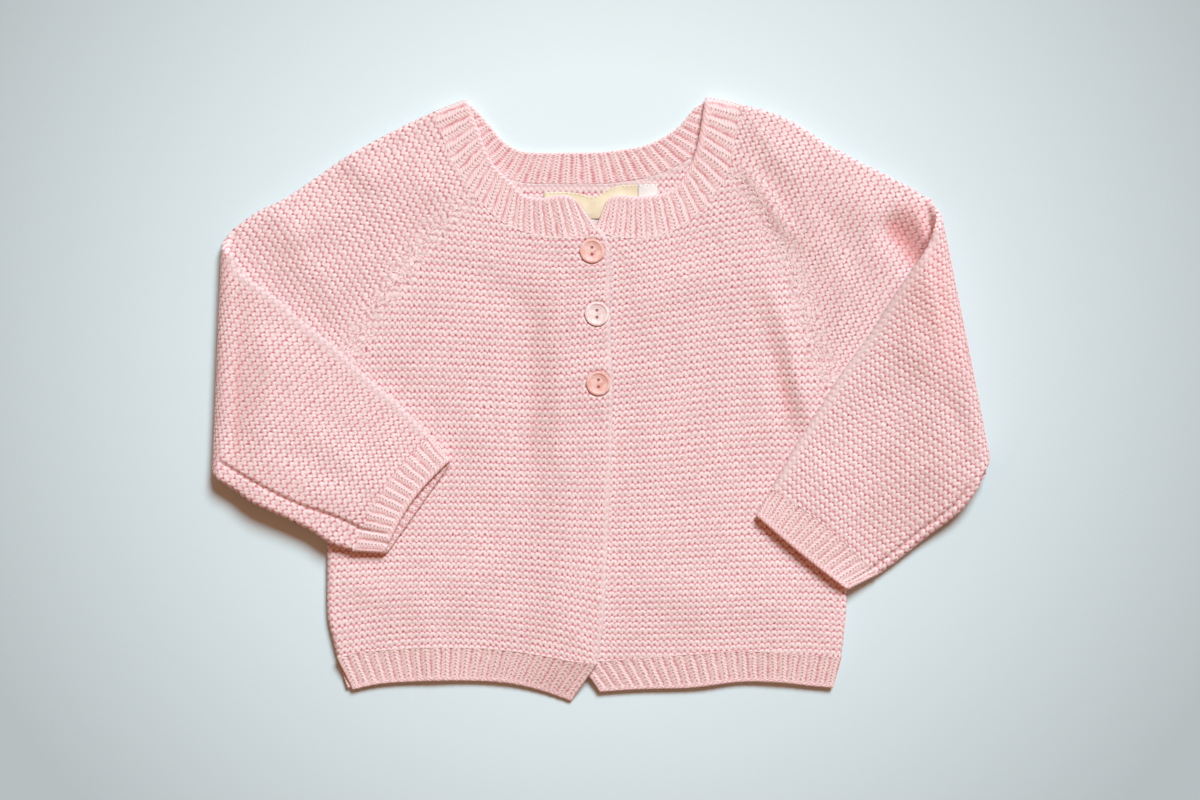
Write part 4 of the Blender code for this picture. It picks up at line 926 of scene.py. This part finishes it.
def sleeveLayer(which, layer, free, span):
    # layer is over, seen on the upper arm and hidden in the forearm, or under, hidden and then seen
    table = sleeves[which]
    elbow = Elbow(which)
    depthAll = {"over": tube, "under": 0.0}[layer]
    bend = math.pi * abs(foldTop / 2 - depthAll)
    raglan, neck = ((raglanFront[which], neckSleeve[which]) if layer == "over"
                    else (raglanBack[which], neckSleeveBack[which]))
    lowTop, lowUnder = table["lowerTop"], table["lowerUnder"]
    seamEnds = lowTop.at(1.0), lowUnder.at(1.0)
    share = np.linspace(0, 1, 30)[1:-1, None]
    cuffSeam = (seamEnds[0] * (1 - share) + seamEnds[1] * share
                + np.array(table["cuffBow"]) * np.sin(math.pi * share))
    wall, seamR = cloth["wall"], knit["seamRadius"]
    outline = [(elbow.unfold(table["upperTop"].points(50)), roll, 0, 0),
               (elbow.unfold(lowTop.points(50), bend)[:-1], roll, 0, turnedEdge[which]),
               (elbow.unfold(np.concatenate((seamEnds[:1], cuffSeam)), bend), seamR, cuffRim, 0),
               (elbow.unfold(lowUnder.points(50)[::-1], bend), roll, 0, 0),
               (elbow.unfold(table["upperUnder"].points(50)[::-1])[:-1], roll, 0, 0),
               (elbow.unfold(raglan.points(50)[::-1])[:-1], knit["raglanRadius"], wall if layer == "over" else 0, 1),
               (elbow.unfold(neck.points(20))[:-1], seamR, wall if layer == "over" else 0, 0)]
    # guide line down the middle of the sleeve, and the rows' heading along it
    cuffMiddle = elbow.unfold((seamEnds[0] + seamEnds[1]) / 2, bend)
    start, mid = (np.array(table[k]) for k in ("shoulderMiddle", "elbowMiddle"))
    last = elbow.inPlane(cuffMiddle)
    guide = Curve(start, mid, last + unit(last - mid) * beyondCuff)
    s = np.linspace(0, 1, 400)
    headings = np.radians(np.interp(s, headingAt, table["rowHeading"]))
    along = np.gradient(guide.at(s), axis=0)
    along /= np.linalg.norm(along, axis=1, keepdims=True)
    rowLine = np.stack((np.cos(headings), np.sin(headings)), -1)
    pitch = knit["ridge"] / np.abs(along[:, 0] * rowLine[:, 1] - along[:, 1] * rowLine[:, 0])
    ridges = np.concatenate(([0.0], np.cumsum(guide.length / (len(s) - 1) / pitch[1:])))
    vAll = np.arange(0.0, ridges[-1], 1 / knit["rows"])
    centre = guide.at(np.interp(vAll, ridges, s))
    heading = np.interp(vAll, ridges, headings)
    u = np.arange(-halfAround, halfAround, 1 / knit["columns"])
    rowLine = np.stack((np.cos(heading), np.sin(heading)), -1)
    flat = elbow.unfold(centre[:, None, :] + u[None, :, None] * knit["stitch"] * rowLine[:, None, :])
    # coarse rows where nothing of this layer shows
    q = flat[..., 1]
    lineInside = isInside(flat.reshape(-1, 2), lineOf(outline)).reshape(q.shape)
    shows = q < bend + showsPast["over"] if layer == "over" else q > -showsPast["under"]
    kept = (lineInside & shows).any(1) | (np.arange(len(vAll)) % knit["rows"] == 0)
    flat = flat[kept]
    stitches = np.stack(np.broadcast_arrays(u[None, :], vAll[kept][:, None]), -1)

    def lift(points, drop, away):
        # the drop goes from the layer's face towards the middle of the tube
        q = points[:, 1]
        depth = depthAll + drop if layer == "under" else depthAll - drop
        angle = np.clip(q / bend, 0.0, 1.0) * math.pi
        radius = foldTop / 2 - depth
        reach = np.where(q <= 0, q, np.where(q < bend, radius * np.sin(angle), bend - q))
        shown = elbow.high + points[:, :1] * elbow.line + reach[:, None] * elbow.out
        settle = armTop + (foldTop - armTop) * (1 - smoothStep((q - bend) / cloth["settle"]))
        z = np.where(q <= 0, depth, np.where(q < bend, foldTop / 2 - radius * np.cos(angle), settle - depth))
        rise, reach = foldRise[which]
        turned = (1 - np.cos(angle)) / 2
        z = z + (rise * np.exp(-(np.maximum(q - bend, 0) / reach) ** 2) - sagAt(which, shown)) * turned
        if layer == "over":
            z = z + np.where(q <= 0, reliefAt(f"{which}_upper", shown, free)
                             + swellAt("body", shown) * smoothStep(-q / easeIn[layer]), 0.0)
        else:
            soft = swellAt(f"{which}Arm", shown) * smoothStep((q - bend) / easeIn[layer])
            z = z + np.where(q >= bend, reliefAt(f"{which}_lower", shown, span) + soft, footRoom * np.cos(angle / 2))
            start, over = table["underSeam"][3:]
            z = z - seamGroove(which, shown) * smoothStep((q - bend - start) / over)
        up = 1.0 if layer == "over" else -1.0
        faceOut = np.column_stack((-up * elbow.out * np.sin(angle)[:, None], up * np.cos(angle)))
        forward = np.column_stack((elbow.out * np.cos(angle)[:, None], np.sin(angle)))
        sideways = np.array((*elbow.line, 0.0))
        return np.column_stack((shown, z)), faceOut, away[:, :1] * sideways + away[:, 1:] * forward

    # painted shade on the left sleeve: the shadow in the elbow's pocket and the forearm turned from the light
    shadeSwells = {("left", "over"): "leftPitShade", ("left", "under"): "leftArmShade"}.get((which, layer))
    return makeSkin(flat, stitches, outline, lift, shadeSwells), lineOf(outline)


def sleeveSkin(which):
    free = cutBy(upperOutline(which), armSpan(which))
    span = armSpan(which)
    parts, lines = zip(*[sleeveLayer(which, layer, free, span) for layer in ("over", "under")])
    piece = newPiece(f"{which}SleeveKnit", fillMesh(joinMeshes(parts), f"{which}SleeveKnit", garterWool),
                     [f"{which}_sleeve"], "garter_knit")
    layOut(piece, lines, size=sleeves[which]["cut"])


firstStep = 0.004  # a narrow first row holds the crease at the seam


def ribBand(name, outer, inner, number, width, closed, node, on, steps=(22, 8)):
    # A ribbed strip in place of a node, lying on other pieces. outer and inner hold for each section the sewn and the
    # free point of the two faces, number the ribs counted along it, width the strip's mean width and steps how finely
    # the two faces are cut across. on, the list of those other pieces, is not used.
    outer, inner, number = np.array(outer), np.array(inner), np.array(number)
    middleFree = (outer[:, 1] + inner[:, 1]) / 2
    half = np.linalg.norm(outer[:, 1] - inner[:, 1], axis=1, keepdims=True) / 2
    up = (outer - inner) / np.linalg.norm(outer - inner, axis=2, keepdims=True)
    forth = outer[:, 1] - outer[:, 0]
    forth /= np.linalg.norm(forth, axis=1, keepdims=True)
    places, faces, rows, phases = [], [], [], []

    def add(place, direction, row, phase):
        places.append(place)
        faces.append(direction)
        rows.append(np.full(len(number), row))
        phases.append(np.full(len(number), phase))

    def footOf(share):
        # 1 on the cast-off
        return smoothStep((share * width - width + rib["foot"]) / (rib["foot"] / 2))

    shares = np.concatenate(([0.0, firstStep], np.arange(1, steps[0] + 1) / steps[0]))
    for t in shares:
        end = outer[:, 1] - forth * half
        u = up[:, 0] * (1 - t) + up[:, 1] * t
        sewn = outer[:, 0] - forth * rib["tuck"]
        add(sewn * (1 - t) + end * t, u, t * width / rib["row"], 0.0)
    for k in range(1, rib["edgeSteps"]):
        angle = math.pi * k / rib["edgeSteps"]
        direction = up[:, 1] * math.cos(angle) + forth * math.sin(angle)
        add(middleFree - forth * half + direction * half, direction, (width + angle * rib["edgeRadius"]) / rib["row"],
            0.5 * k / rib["edgeSteps"])
    for t in np.arange(steps[1] + 1)[::-1] / steps[1]:
        end = inner[:, 1] - forth * half
        u = up[:, 0] * (1 - t) + up[:, 1] * t
        add(inner[:, 0] * (1 - t) + end * t, -u, (2 * width + rib["edgeLong"] - t * width) / rib["row"], 0.5)
    grid, directions, across, phases = (np.stack([*values, values[0]], 1) for values in (places, faces, rows, phases))
    ribNumber = number[:, None] + phases
    if closed:
        grid, directions, ribNumber, across = (np.concatenate((a, a[:1])) for a in (
            grid, directions, ribNumber, across))
    crest = (0.5 - 0.5 * np.cos(2 * np.pi * ribNumber)) ** rib["round"]
    turns = np.ones(rib["edgeSteps"] - 1)
    back = np.arange(steps[1] + 1)[::-1] / steps[1]
    flag = np.concatenate((-footOf(shares), -turns, np.ones(len(back) + 1)))  # -1 at the cast-off, 1 on the inner face
    flat = np.concatenate((footOf(shares), turns, footOf(back), [0.0]))
    shares = np.concatenate((shares, turns, np.ones(len(back)), shares[:1]))
    # the ribs begin level with the knitting they are sewn to
    sunk = smoothStep(rib["start"] + rib["grow"] * shares) * rib["depth"]
    sunk = sunk * (1 - rib["footFlat"] * flat)
    grid = grid + directions * (rib["proud"] + sunk * (crest - 1))[..., None]
    grid[..., :2] -= middle
    numbers = np.stack((ribNumber, across, np.broadcast_to(flag, across.shape)), -1)
    mesh, _ = gridMesh(grid.reshape(-1, 3), *grid.shape[:2], stitches=numbers.reshape(-1, 3))
    bm = bmesh.new()
    bm.from_mesh(mesh)
    bpy.data.meshes.remove(mesh)
    bmesh.ops.remove_doubles(bm, verts=bm.verts[:], dist=2e-6)
    if not closed:
        bmesh.ops.holes_fill(bm, edges=[e for e in bm.edges if e.is_boundary], sides=0)
    bmesh.ops.recalc_face_normals(bm, faces=bm.faces[:])
    piece = newPiece(name, fillMesh(bm, name, ribbedWool), [node], "rib_knit")
    edges = (np.concatenate((edge, edge[:1])) if closed else edge for edge in (outer[:, 0], outer[:, 1]))
    long = np.mean([np.linalg.norm(np.diff(edge, axis=0), axis=1).sum() for edge in edges])
    print("cardigan:", name, "cut", round(float(long)), width)


def ribShares(ribs):
    # shares of a band's length at which its ribs have their points
    return np.arange(ribs * rib["columns"] + 1) / (ribs * rib["columns"])


def at3(points, z):
    # places in space over points in plan
    return np.column_stack((points, np.broadcast_to(z, len(points))))


hemDroop = {"face": 2.5, "inside": 1.3, "corner": 1.2, "from": -80.0, "over": 60.0}  # the hem's foot turns down


def hemFront(which):
    top, foot = hemTop[which], hemFoot[which]
    ribs = round(top.length / rib["pitch"])
    share = ribShares(ribs)
    high = top.at(share) + top.left(share) * turn[which] * cloth["seam"]
    low = foot.at(share)
    lift = lap(high) if which == "right" else 0.0
    free = smoothStep((low[:, 0] - hemDroop["from"]) / hemDroop["over"]) if which == "right" else 0.0
    sunk = free * (lift + hemDroop["corner"])  # the right front's corner lies on the floor
    face = [frontTop + lift + swellAt("body", edge) for edge in (high, low)]
    outer = np.stack((at3(high, face[0]), at3(low, face[1] - hemDroop["face"] - sunk)), 1)
    inner = np.stack((at3(high, frontBase + lift), at3(low, frontBase + lift - hemDroop["inside"] - sunk)), 1)
    ribBand(f"{which}HemRib", outer, inner, share * ribs, bandWidth["hem"], False, f"hem_rib_{which}_front",
            ["backHemRib", "floor"])


backHemRibs = 46
floorGap = 0.1  # the bands of the back lie this far over the floor


def hemBack():
    ribs = backHemRibs
    share = ribShares(ribs)
    high = hemTopBack.at(share) - hemTopBack.left(share) * cloth["seam"]
    low = hemFootBack.at(share)
    outer = np.stack((at3(high, floorGap), at3(low, floorGap)), 1)
    inner = np.stack((at3(high, backTop), at3(low, backTop)), 1)
    ribBand("backHemRib", outer, inner, share * ribs, bandWidth["hemBack"], False, "hem_rib_back", ["floor"],
            steps=(14, 4))


lapStartShare = 0.042  # the left neckband starts this far in, under the right one
neckJoin = 0.06  # share of the back's neckline over which it meets the fronts'
shoulderRibs = 1.5


def neckBand():
    outer, inner, number = [], [], []
    count = 0.0

    def sewnFront(which):
        centre, sleeve = neckCentre[which], neckSleeve[which]
        start = 0.0 if which == "right" else lapStartShare
        rest = centre.length * (1 - start)
        total = rest + sleeve.length - roll

        def at(share):
            run = np.asarray(share, float) * total
            one, two = start + run / centre.length, (run - rest) / sleeve.length
            shift = -turn[which] * cloth["seam"]
            return np.where((run <= rest)[..., None], centre.at(one) + centre.left(one) * shift,
                            sleeve.at(two) + sleeve.left(two) * shift)
        return at

    def sewnBack(share):
        share = np.asarray(share, float)
        parts = (neckSleeveBack["right"], neckBack, neckSleeveBack["left"])
        lengths = [part.length for part in parts]
        run = share * sum(lengths)
        places = [part.at(s) + part.left(s) * shift for part, s, shift in (
            (parts[0], 1 - run / lengths[0], -cloth["seam"]),
            (parts[1], (run - lengths[0]) / lengths[1], cloth["seam"]),
            (parts[2], (run - lengths[0] - lengths[1]) / lengths[2], cloth["seam"]))]
        point = np.where((run < lengths[0])[..., None], places[0],
                         np.where((run <= lengths[0] + lengths[1])[..., None], places[1], places[2]))
        ends = sewnFront("right")(1.0), sewnFront("left")(1.0)
        t = (share / neckJoin)[..., None]
        point = np.where(t < 1, ends[0] * (1 - t) + point * t, point)
        t = ((1 - share) / neckJoin)[..., None]
        return np.where(t < 1, ends[1] * (1 - t) + point * t, point)

    def stretch(sewn, free, backwards, outTop, inTop, pitch, ease):
        nonlocal count
        length = np.linalg.norm(np.diff(sewn(np.arange(41) / 40), axis=0), axis=1).sum()
        ribs = round(length / pitch)
        share = ribShares(ribs)
        number.extend(count + share * ribs)
        count += ribs
        share = share - ease * share * (1 - share)  # the ribs lie closer at the front
        share = share[::-1] if backwards else share
        edges = sewn(share), free(share)
        outer.extend(np.stack([at3(e, outTop(e)) for e in edges], 1))
        inner.extend(np.stack([at3(e, inTop(e)) for e in edges], 1))

    def shoulder(which, backwards):
        nonlocal count
        sewn, free = sewnFront(which)(1.0), collarFree[which].at(1.0)
        line = unit(free - sewn)
        out = np.array((-line[1], line[0])) * turn[which]
        core = roll - cloth["wall"]
        angles = [math.pi * k / 12 for k in range(1, 12)]
        for angle in (angles[::-1] if backwards else angles):
            for skinList, radius in ((outer, roll), (inner, core)):
                skinList.append([np.array((*(p + out * radius * math.sin(angle)), roll + radius * math.cos(angle)))
                                 for p in (sewn, free)])
            number.append(count + shoulderRibs * (math.pi - angle if backwards else angle) / math.pi)
        count += shoulderRibs

    stretch(sewnFront("right"), collarFree["right"].at, False, lambda e: frontTop + lapped(e) + swellAt("body", e),
            lambda e: frontBase + lap(e), *rib["neckFront"])
    shoulder("right", False)
    stretch(sewnBack, collarFreeBack.at, False, lambda e: floorGap, lambda e: backTop, *rib["neckBack"])
    shoulder("left", True)
    stretch(sewnFront("left"), collarFree["left"].at, True, lambda e: frontTop + swellAt("body", e),
            lambda e: frontBase, *rib["neckFront"])
    ribBand("neckRib", outer, inner, number, bandWidth["neck"], False, "neckband", ["floor", "backKnit"],
            steps=(24, 24))


def cuffRib(which):
    table = sleeves[which]
    elbow = Elbow(which)
    edge = [np.array(p) for p in table["cuffEdge"]]
    seam = [table["lowerTop"].at(1.0), table["lowerUnder"].at(1.0)]
    hang = unit(edge[0] - seam[0] + edge[1] - seam[1])
    ribs, span = table["ribs"], armSpan(which)
    share = ribShares(ribs)
    turns = np.arange(1, 12) / 12 * math.pi
    skins = []
    for radius, skinDepth in ((roll, 0.0), (roll - cloth["wall"], cloth["wall"])):
        columns = []
        for nearEdge in (False, True):
            ends = edge if nearEdge else [p + hang * cloth["seam"] * cuff["seam"] for p in seam]
            across = unit(ends[1] - ends[0])
            high, low = ends[0] + across * roll, ends[1] - across * roll
            bow = np.array(table["cuffBow"]) * (0.0 if nearEdge else 1.0)
            setBack = hang * (-table["cuffStep"] if nearEdge else 0.0)

            def lower(spot, depth):
                inward = -(spot - elbow.high) @ elbow.out
                top = armTop + (foldTop - armTop) * (1 - smoothStep(inward / cloth["settle"])) - sagAt(which, spot)
                top = top + foldRise[which][0] * np.exp(-(inward / foldRise[which][1]) ** 2)
                soft = (reliefAt(f"{which}_lower", spot, span) + swellAt(f"{which}Arm", spot)
                        - seamGroove(which, spot) * cuff["groove"])
                return np.column_stack((spot, top - depth + np.where(depth < roll, soft, 0.0)))

            def layer(share, depth, away):
                swell = np.sin(math.pi * share)[:, None]
                spot = high + (low - high) * share[:, None] + bow * swell
                return lower(spot + away * (cuff["stepEnds"] + (1 - cuff["stepEnds"]) * swell), depth)

            def edgeTurn(angles, end, sign):
                spot = end + sign * across * radius * np.sin(angles)[:, None]
                return lower(spot + setBack * cuff["stepEnds"] * (angles / math.pi)[:, None],
                             roll + radius * np.cos(angles))

            columns.append(np.concatenate((layer(share, tube - skinDepth, np.zeros(2)), edgeTurn(turns, low, 1),
                                           layer(share[::-1], skinDepth, setBack), edgeTurn(turns[::-1], high, -1))))
        skins.append(np.stack(columns, 1))
    # two more ribs lie on each turned edge
    number = np.concatenate((share * ribs, ribs + turns / math.pi * 2, ribs + 2 + share * ribs,
                             2 * ribs + 2 + turns / math.pi * 2))
    ribBand(f"{which}CuffRib", *skins, number, bandWidth["cuff"], True, f"cuff_{which}", [f"{which}FrontKnit"],
            steps=(20, 8))


for which in ("right", "left"):
    frontSkin(which)
    sleeveSkin(which)
    hemFront(which)
    cuffRib(which)
    print("cardigan:", which, "front and sleeve")
backSkin()
hemBack()
neckBand()
print("cardigan: back and neckband")


def threadMaterial(name, dark, pale, strand, roughness):
    # sewing thread: fine twisted strands with dark lines between them
    material, add, shader = newMaterial(name, Roughness=roughness)
    strands = add("TexNoise", add("TexCoord", out="Object"), Scale=1 / (strand * mm), Detail=2.0)
    setSockets(shader, Base_Color=add("Mix.RGBA", strands, dark, pale))
    return material


# Buttons: cut from a pale pink shell, with a cloudy lustre
shells = {
    "button_1": {"base": "f2bdb0", "cloud": "f8d6cc", "vein": "e49d8f", "ring": 3.4},
    "button_2": {"base": "f5dad5", "cloud": "fdf1ee", "vein": "e6b6b0", "ring": 2.6},
    "button_3": {"base": "ecb8ab", "cloud": "f4d0c6", "vein": "d99688", "ring": 3.8},
}
shellLook = {"roughness": 0.24, "lacquer": 0.35, "lacquerRoughness": 0.12, "passes": 0.15, "deep": 1.5, "warp": 5.0,
             "warpBy": 0.006, "cloudy": (0.4, 0.62), "grain": 3.2, "veins": (0.66, 0.95), "veinShare": 0.4,
             "relief": 0.15, "reliefShare": 0.35}
thread = {"radius": 0.8, "below": 1.15, "long": 3.0, "apart": 3.8, "dark": "8f3f3c", "pale": "c98078", "strand": 0.35,
          "roughness": 0.85}


def shellMaterial(name, shell, centre):
    material, add, shader = newMaterial(
        name, Roughness=shellLook["roughness"], Coat_Weight=shellLook["lacquer"],
        Coat_Roughness=shellLook["lacquerRoughness"], Subsurface_Weight=shellLook["passes"],
        Subsurface_Scale=shellLook["deep"] * mm)
    about = add("VectorMath.SUBTRACT", add("TexCoord", out="Object"), centre)
    warp = add("TexNoise", about, Scale=1 / (shellLook["warp"] * mm), Detail=1.0, out=1)
    bent = add("VectorMath.MULTIPLY_ADD", warp, (shellLook["warpBy"],) * 3, about)
    cloud = add("TexNoise", bent, Scale=1 / (shell["ring"] * mm), Detail=2.0)
    colour = add("Mix.RGBA", add("MapRange.SMOOTHSTEP", cloud, *shellLook["cloudy"]), shell["base"], shell["cloud"])
    grain = add("TexWave", bent, wave_type="BANDS", bands_direction="DIAGONAL", Scale=1 / (shellLook["grain"] * mm),
                Distortion=3.0, Detail=2.0, out=1)
    veins = add("Math.MULTIPLY", add("MapRange.SMOOTHSTEP", grain, *shellLook["veins"]), shellLook["veinShare"])
    colour = add("Mix.RGBA", veins, colour, shell["vein"])
    bump = add("Bump", Height=cloud, Distance=shellLook["relief"] * mm, Strength=shellLook["reliefShare"])
    setSockets(shader, Base_Color=colour, Normal=bump)
    return material


threadWool = threadMaterial("sewingThread", thread["dark"], thread["pale"], thread["strand"], thread["roughness"])
for name, shell in shells.items():
    low, high = (np.array(corner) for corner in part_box(name))
    centre = (low + high) / 2
    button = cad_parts[name]
    button.data.materials.clear()
    button.data.materials.append(shellMaterial(f"pinkShell{name[-1]}", shell, tuple(centre)))
    bm = bmesh.new()
    for side in (-1, 1):
        made = bmesh.ops.create_cone(bm, cap_ends=True, segments=12, radius1=thread["radius"] * mm,
                                     radius2=thread["radius"] * mm, depth=thread["long"] * mm)["verts"]
        bmesh.ops.translate(bm, verts=made, vec=(centre[0], centre[1] + side * thread["apart"] / 2 * mm,
                                                 high[2] - (thread["below"] + thread["long"] / 2) * mm))
    newPiece(f"buttonThread{name[-1]}", fillMesh(bm, "buttonThread", threadWool, smooth=False), [], "button_shell")
print("cardigan: buttons")

# Labels: soft satin tape, woven close, cut straight, its edges turned under and caught down by hand
labels = {
    "label_main": {"top": Curve((-31.2, 112.9), (-24.0, 113.4), (-12.0, 112.5), (-5.0, 110.6), (-0.5, 112.2),
                                (5.0, 115.2), (10.5, 116.8), (20.0, 117.3)),
                   "foot": 98.6, "slot": "label_cream", "tape": "f3e6c8", "shade": "dbc9a4"},
    "label_size": {"top": Curve((20.1, 117.1), (25.0, 117.4), (30.6, 117.3)), "foot": 104.0, "slot": "label_white",
                   "tape": "f6f2ec", "shade": "e2dcd4"},
    "label_care": {"top": Curve((-9.0, 98.5), (-2.0, 98.7), (5.0, 98.5)), "foot": 88.0, "slot": "label_white",
                   "tape": "f4efe9", "shade": "ddd6ce"},
}
tape = {"rise": 2.62, "wall": 0.26, "step": 1.1, "wave": 0.13, "hem": 1.1, "hemRise": 0.1, "stitch": 2.3,
        "thread": 0.17, "weave": 0.5, "roughness": 0.5, "sheen": 0.15, "cloud": 8.0, "cloudy": (0.35, 0.7),
        "weaveShade": 0.3, "relief": 0.1, "reliefShare": 0.5,
        "ripples": ((5.1, 7.3), (2.9, 6.1)), "stitchDown": 0.5, "stitchRise": 0.1}
# the main label stands up round this dent
dent = {"x": -4.5, "y": 108.0, "slant": 0.3, "reach": 4.2, "rise": 0.9, "loose": 8.0}
sewing = {"dark": "d9cbb0", "pale": "f6efe2", "strand": 0.4, "roughness": 0.7}


def tapeMaterial(name, label):
    material, add, shader = newMaterial(name, Roughness=tape["roughness"], Sheen_Weight=tape["sheen"])
    place = add("TexCoord", out="Object")
    x, y, _ = add("SeparateXYZ", place, out=None)
    weave = [waveOf(add, add("Math.MULTIPLY", value, 1 / (tape["weave"] * mm))) for value in (x, y)]
    cloudy = add("TexNoise", place, Scale=1 / (tape["cloud"] * mm), Detail=3.0)
    thick = add("Math.MULTIPLY", *weave)
    share = add("Math.MULTIPLY_ADD", thick, -tape["weaveShade"], add(
        "Math.MULTIPLY_ADD", add("MapRange.SMOOTHSTEP", cloudy, *tape["cloudy"]), 0.5, tape["weaveShade"]))
    bump = add("Bump", Height=thick, Distance=tape["relief"] * mm, Strength=tape["reliefShare"])
    setSockets(shader, Base_Color=add("Mix.RGBA", share, label["tape"], label["shade"]), Normal=bump)
    return material


def tapeAt(label, along, down):
    # a place on the face of a label, from its share along and the distance below its top edge
    x, y = label["top"].at(along) - (0, down)
    slow, quick = tape["ripples"]
    ripple = math.sin(x / slow[0] + y / slow[1]) + math.sin(x / quick[0] - y / quick[1] + 1.0) / 2
    z = tape["rise"] + tape["wall"] + tape["wave"] * ripple
    if label["slot"] == "label_cream":
        free = float(smoothStep(down / dent["loose"])) * math.sin(math.pi * along) ** 0.5
        beside = ((x - dent["x"]) - (y - dent["y"]) * dent["slant"]) / dent["reach"]
        z += dent["rise"] * free * (1 - 0.9 * math.exp(-beside**2))
    return (x - middle[0], y - middle[1], z)


def makeLabel(node, label):
    top = label["top"]
    wide, deep = float(top.length), float(top.points(20)[:, 1].max() - label["foot"])
    across, rows = max(8, round(wide / tape["step"])), max(6, round(deep / tape["step"]))
    bm = bmesh.new()
    bmesh.ops.create_grid(bm, x_segments=across, y_segments=rows, size=0.5)
    for v in bm.verts:
        along, share = min(1.0, v.co.x + 0.5), max(0.0, 0.5 - v.co.y)
        down = share * (float(top.at(along)[1]) - label["foot"])
        turned = min(along * wide, (1 - along) * wide, down)
        x, y, z = tapeAt(label, along, down)
        # the turned edge is double, and its step shows
        v.co = (x * mm, y * mm, (z + tape["hemRise"] * float(smoothStep((tape["hem"] + 0.5 - turned) / 0.5))) * mm)
    bmesh.ops.solidify(bm, geom=bm.faces[:], thickness=tape["wall"] * mm)
    bmesh.ops.recalc_face_normals(bm, faces=bm.faces[:])
    name = "labelTape" + node[6:].title()
    piece = newPiece(name, fillMesh(bm, name, tapeMaterial(name, label)), [node], label["slot"])

    bm = bmesh.new()
    count = round(wide / tape["stitch"])
    for k in range(count):
        start, end = (np.array(tapeAt(label, (k + part) / count, tape["stitchDown"])) for part in (0.25, 0.75))
        made = bmesh.ops.create_cone(bm, cap_ends=True, segments=8, radius1=tape["thread"] * mm,
                                     radius2=tape["thread"] * mm, depth=tape["stitch"] * 0.5 * mm)["verts"]
        bmesh.ops.rotate(bm, verts=made, matrix=Matrix.Rotation(math.pi / 2, 3, "Y"))
        slope = math.atan2(end[1] - start[1], end[0] - start[0])
        bmesh.ops.rotate(bm, verts=made, matrix=Matrix.Rotation(slope, 3, "Z"))
        spot = (start + end) / 2 + (0, 0, tape["stitchRise"] + tape["thread"] * 0.4)
        bmesh.ops.translate(bm, verts=made, vec=Vector(spot) * mm)
    stitches = newPiece(f"{name}Stitches", fillMesh(bm, f"{name}Stitches", tapeThread), [], label["slot"])


tapeThread = threadMaterial("creamSewingThread", sewing["dark"], sewing["pale"], sewing["strand"], sewing["roughness"])
for node, label in labels.items():
    makeLabel(node, label)
print("cardigan: labels")
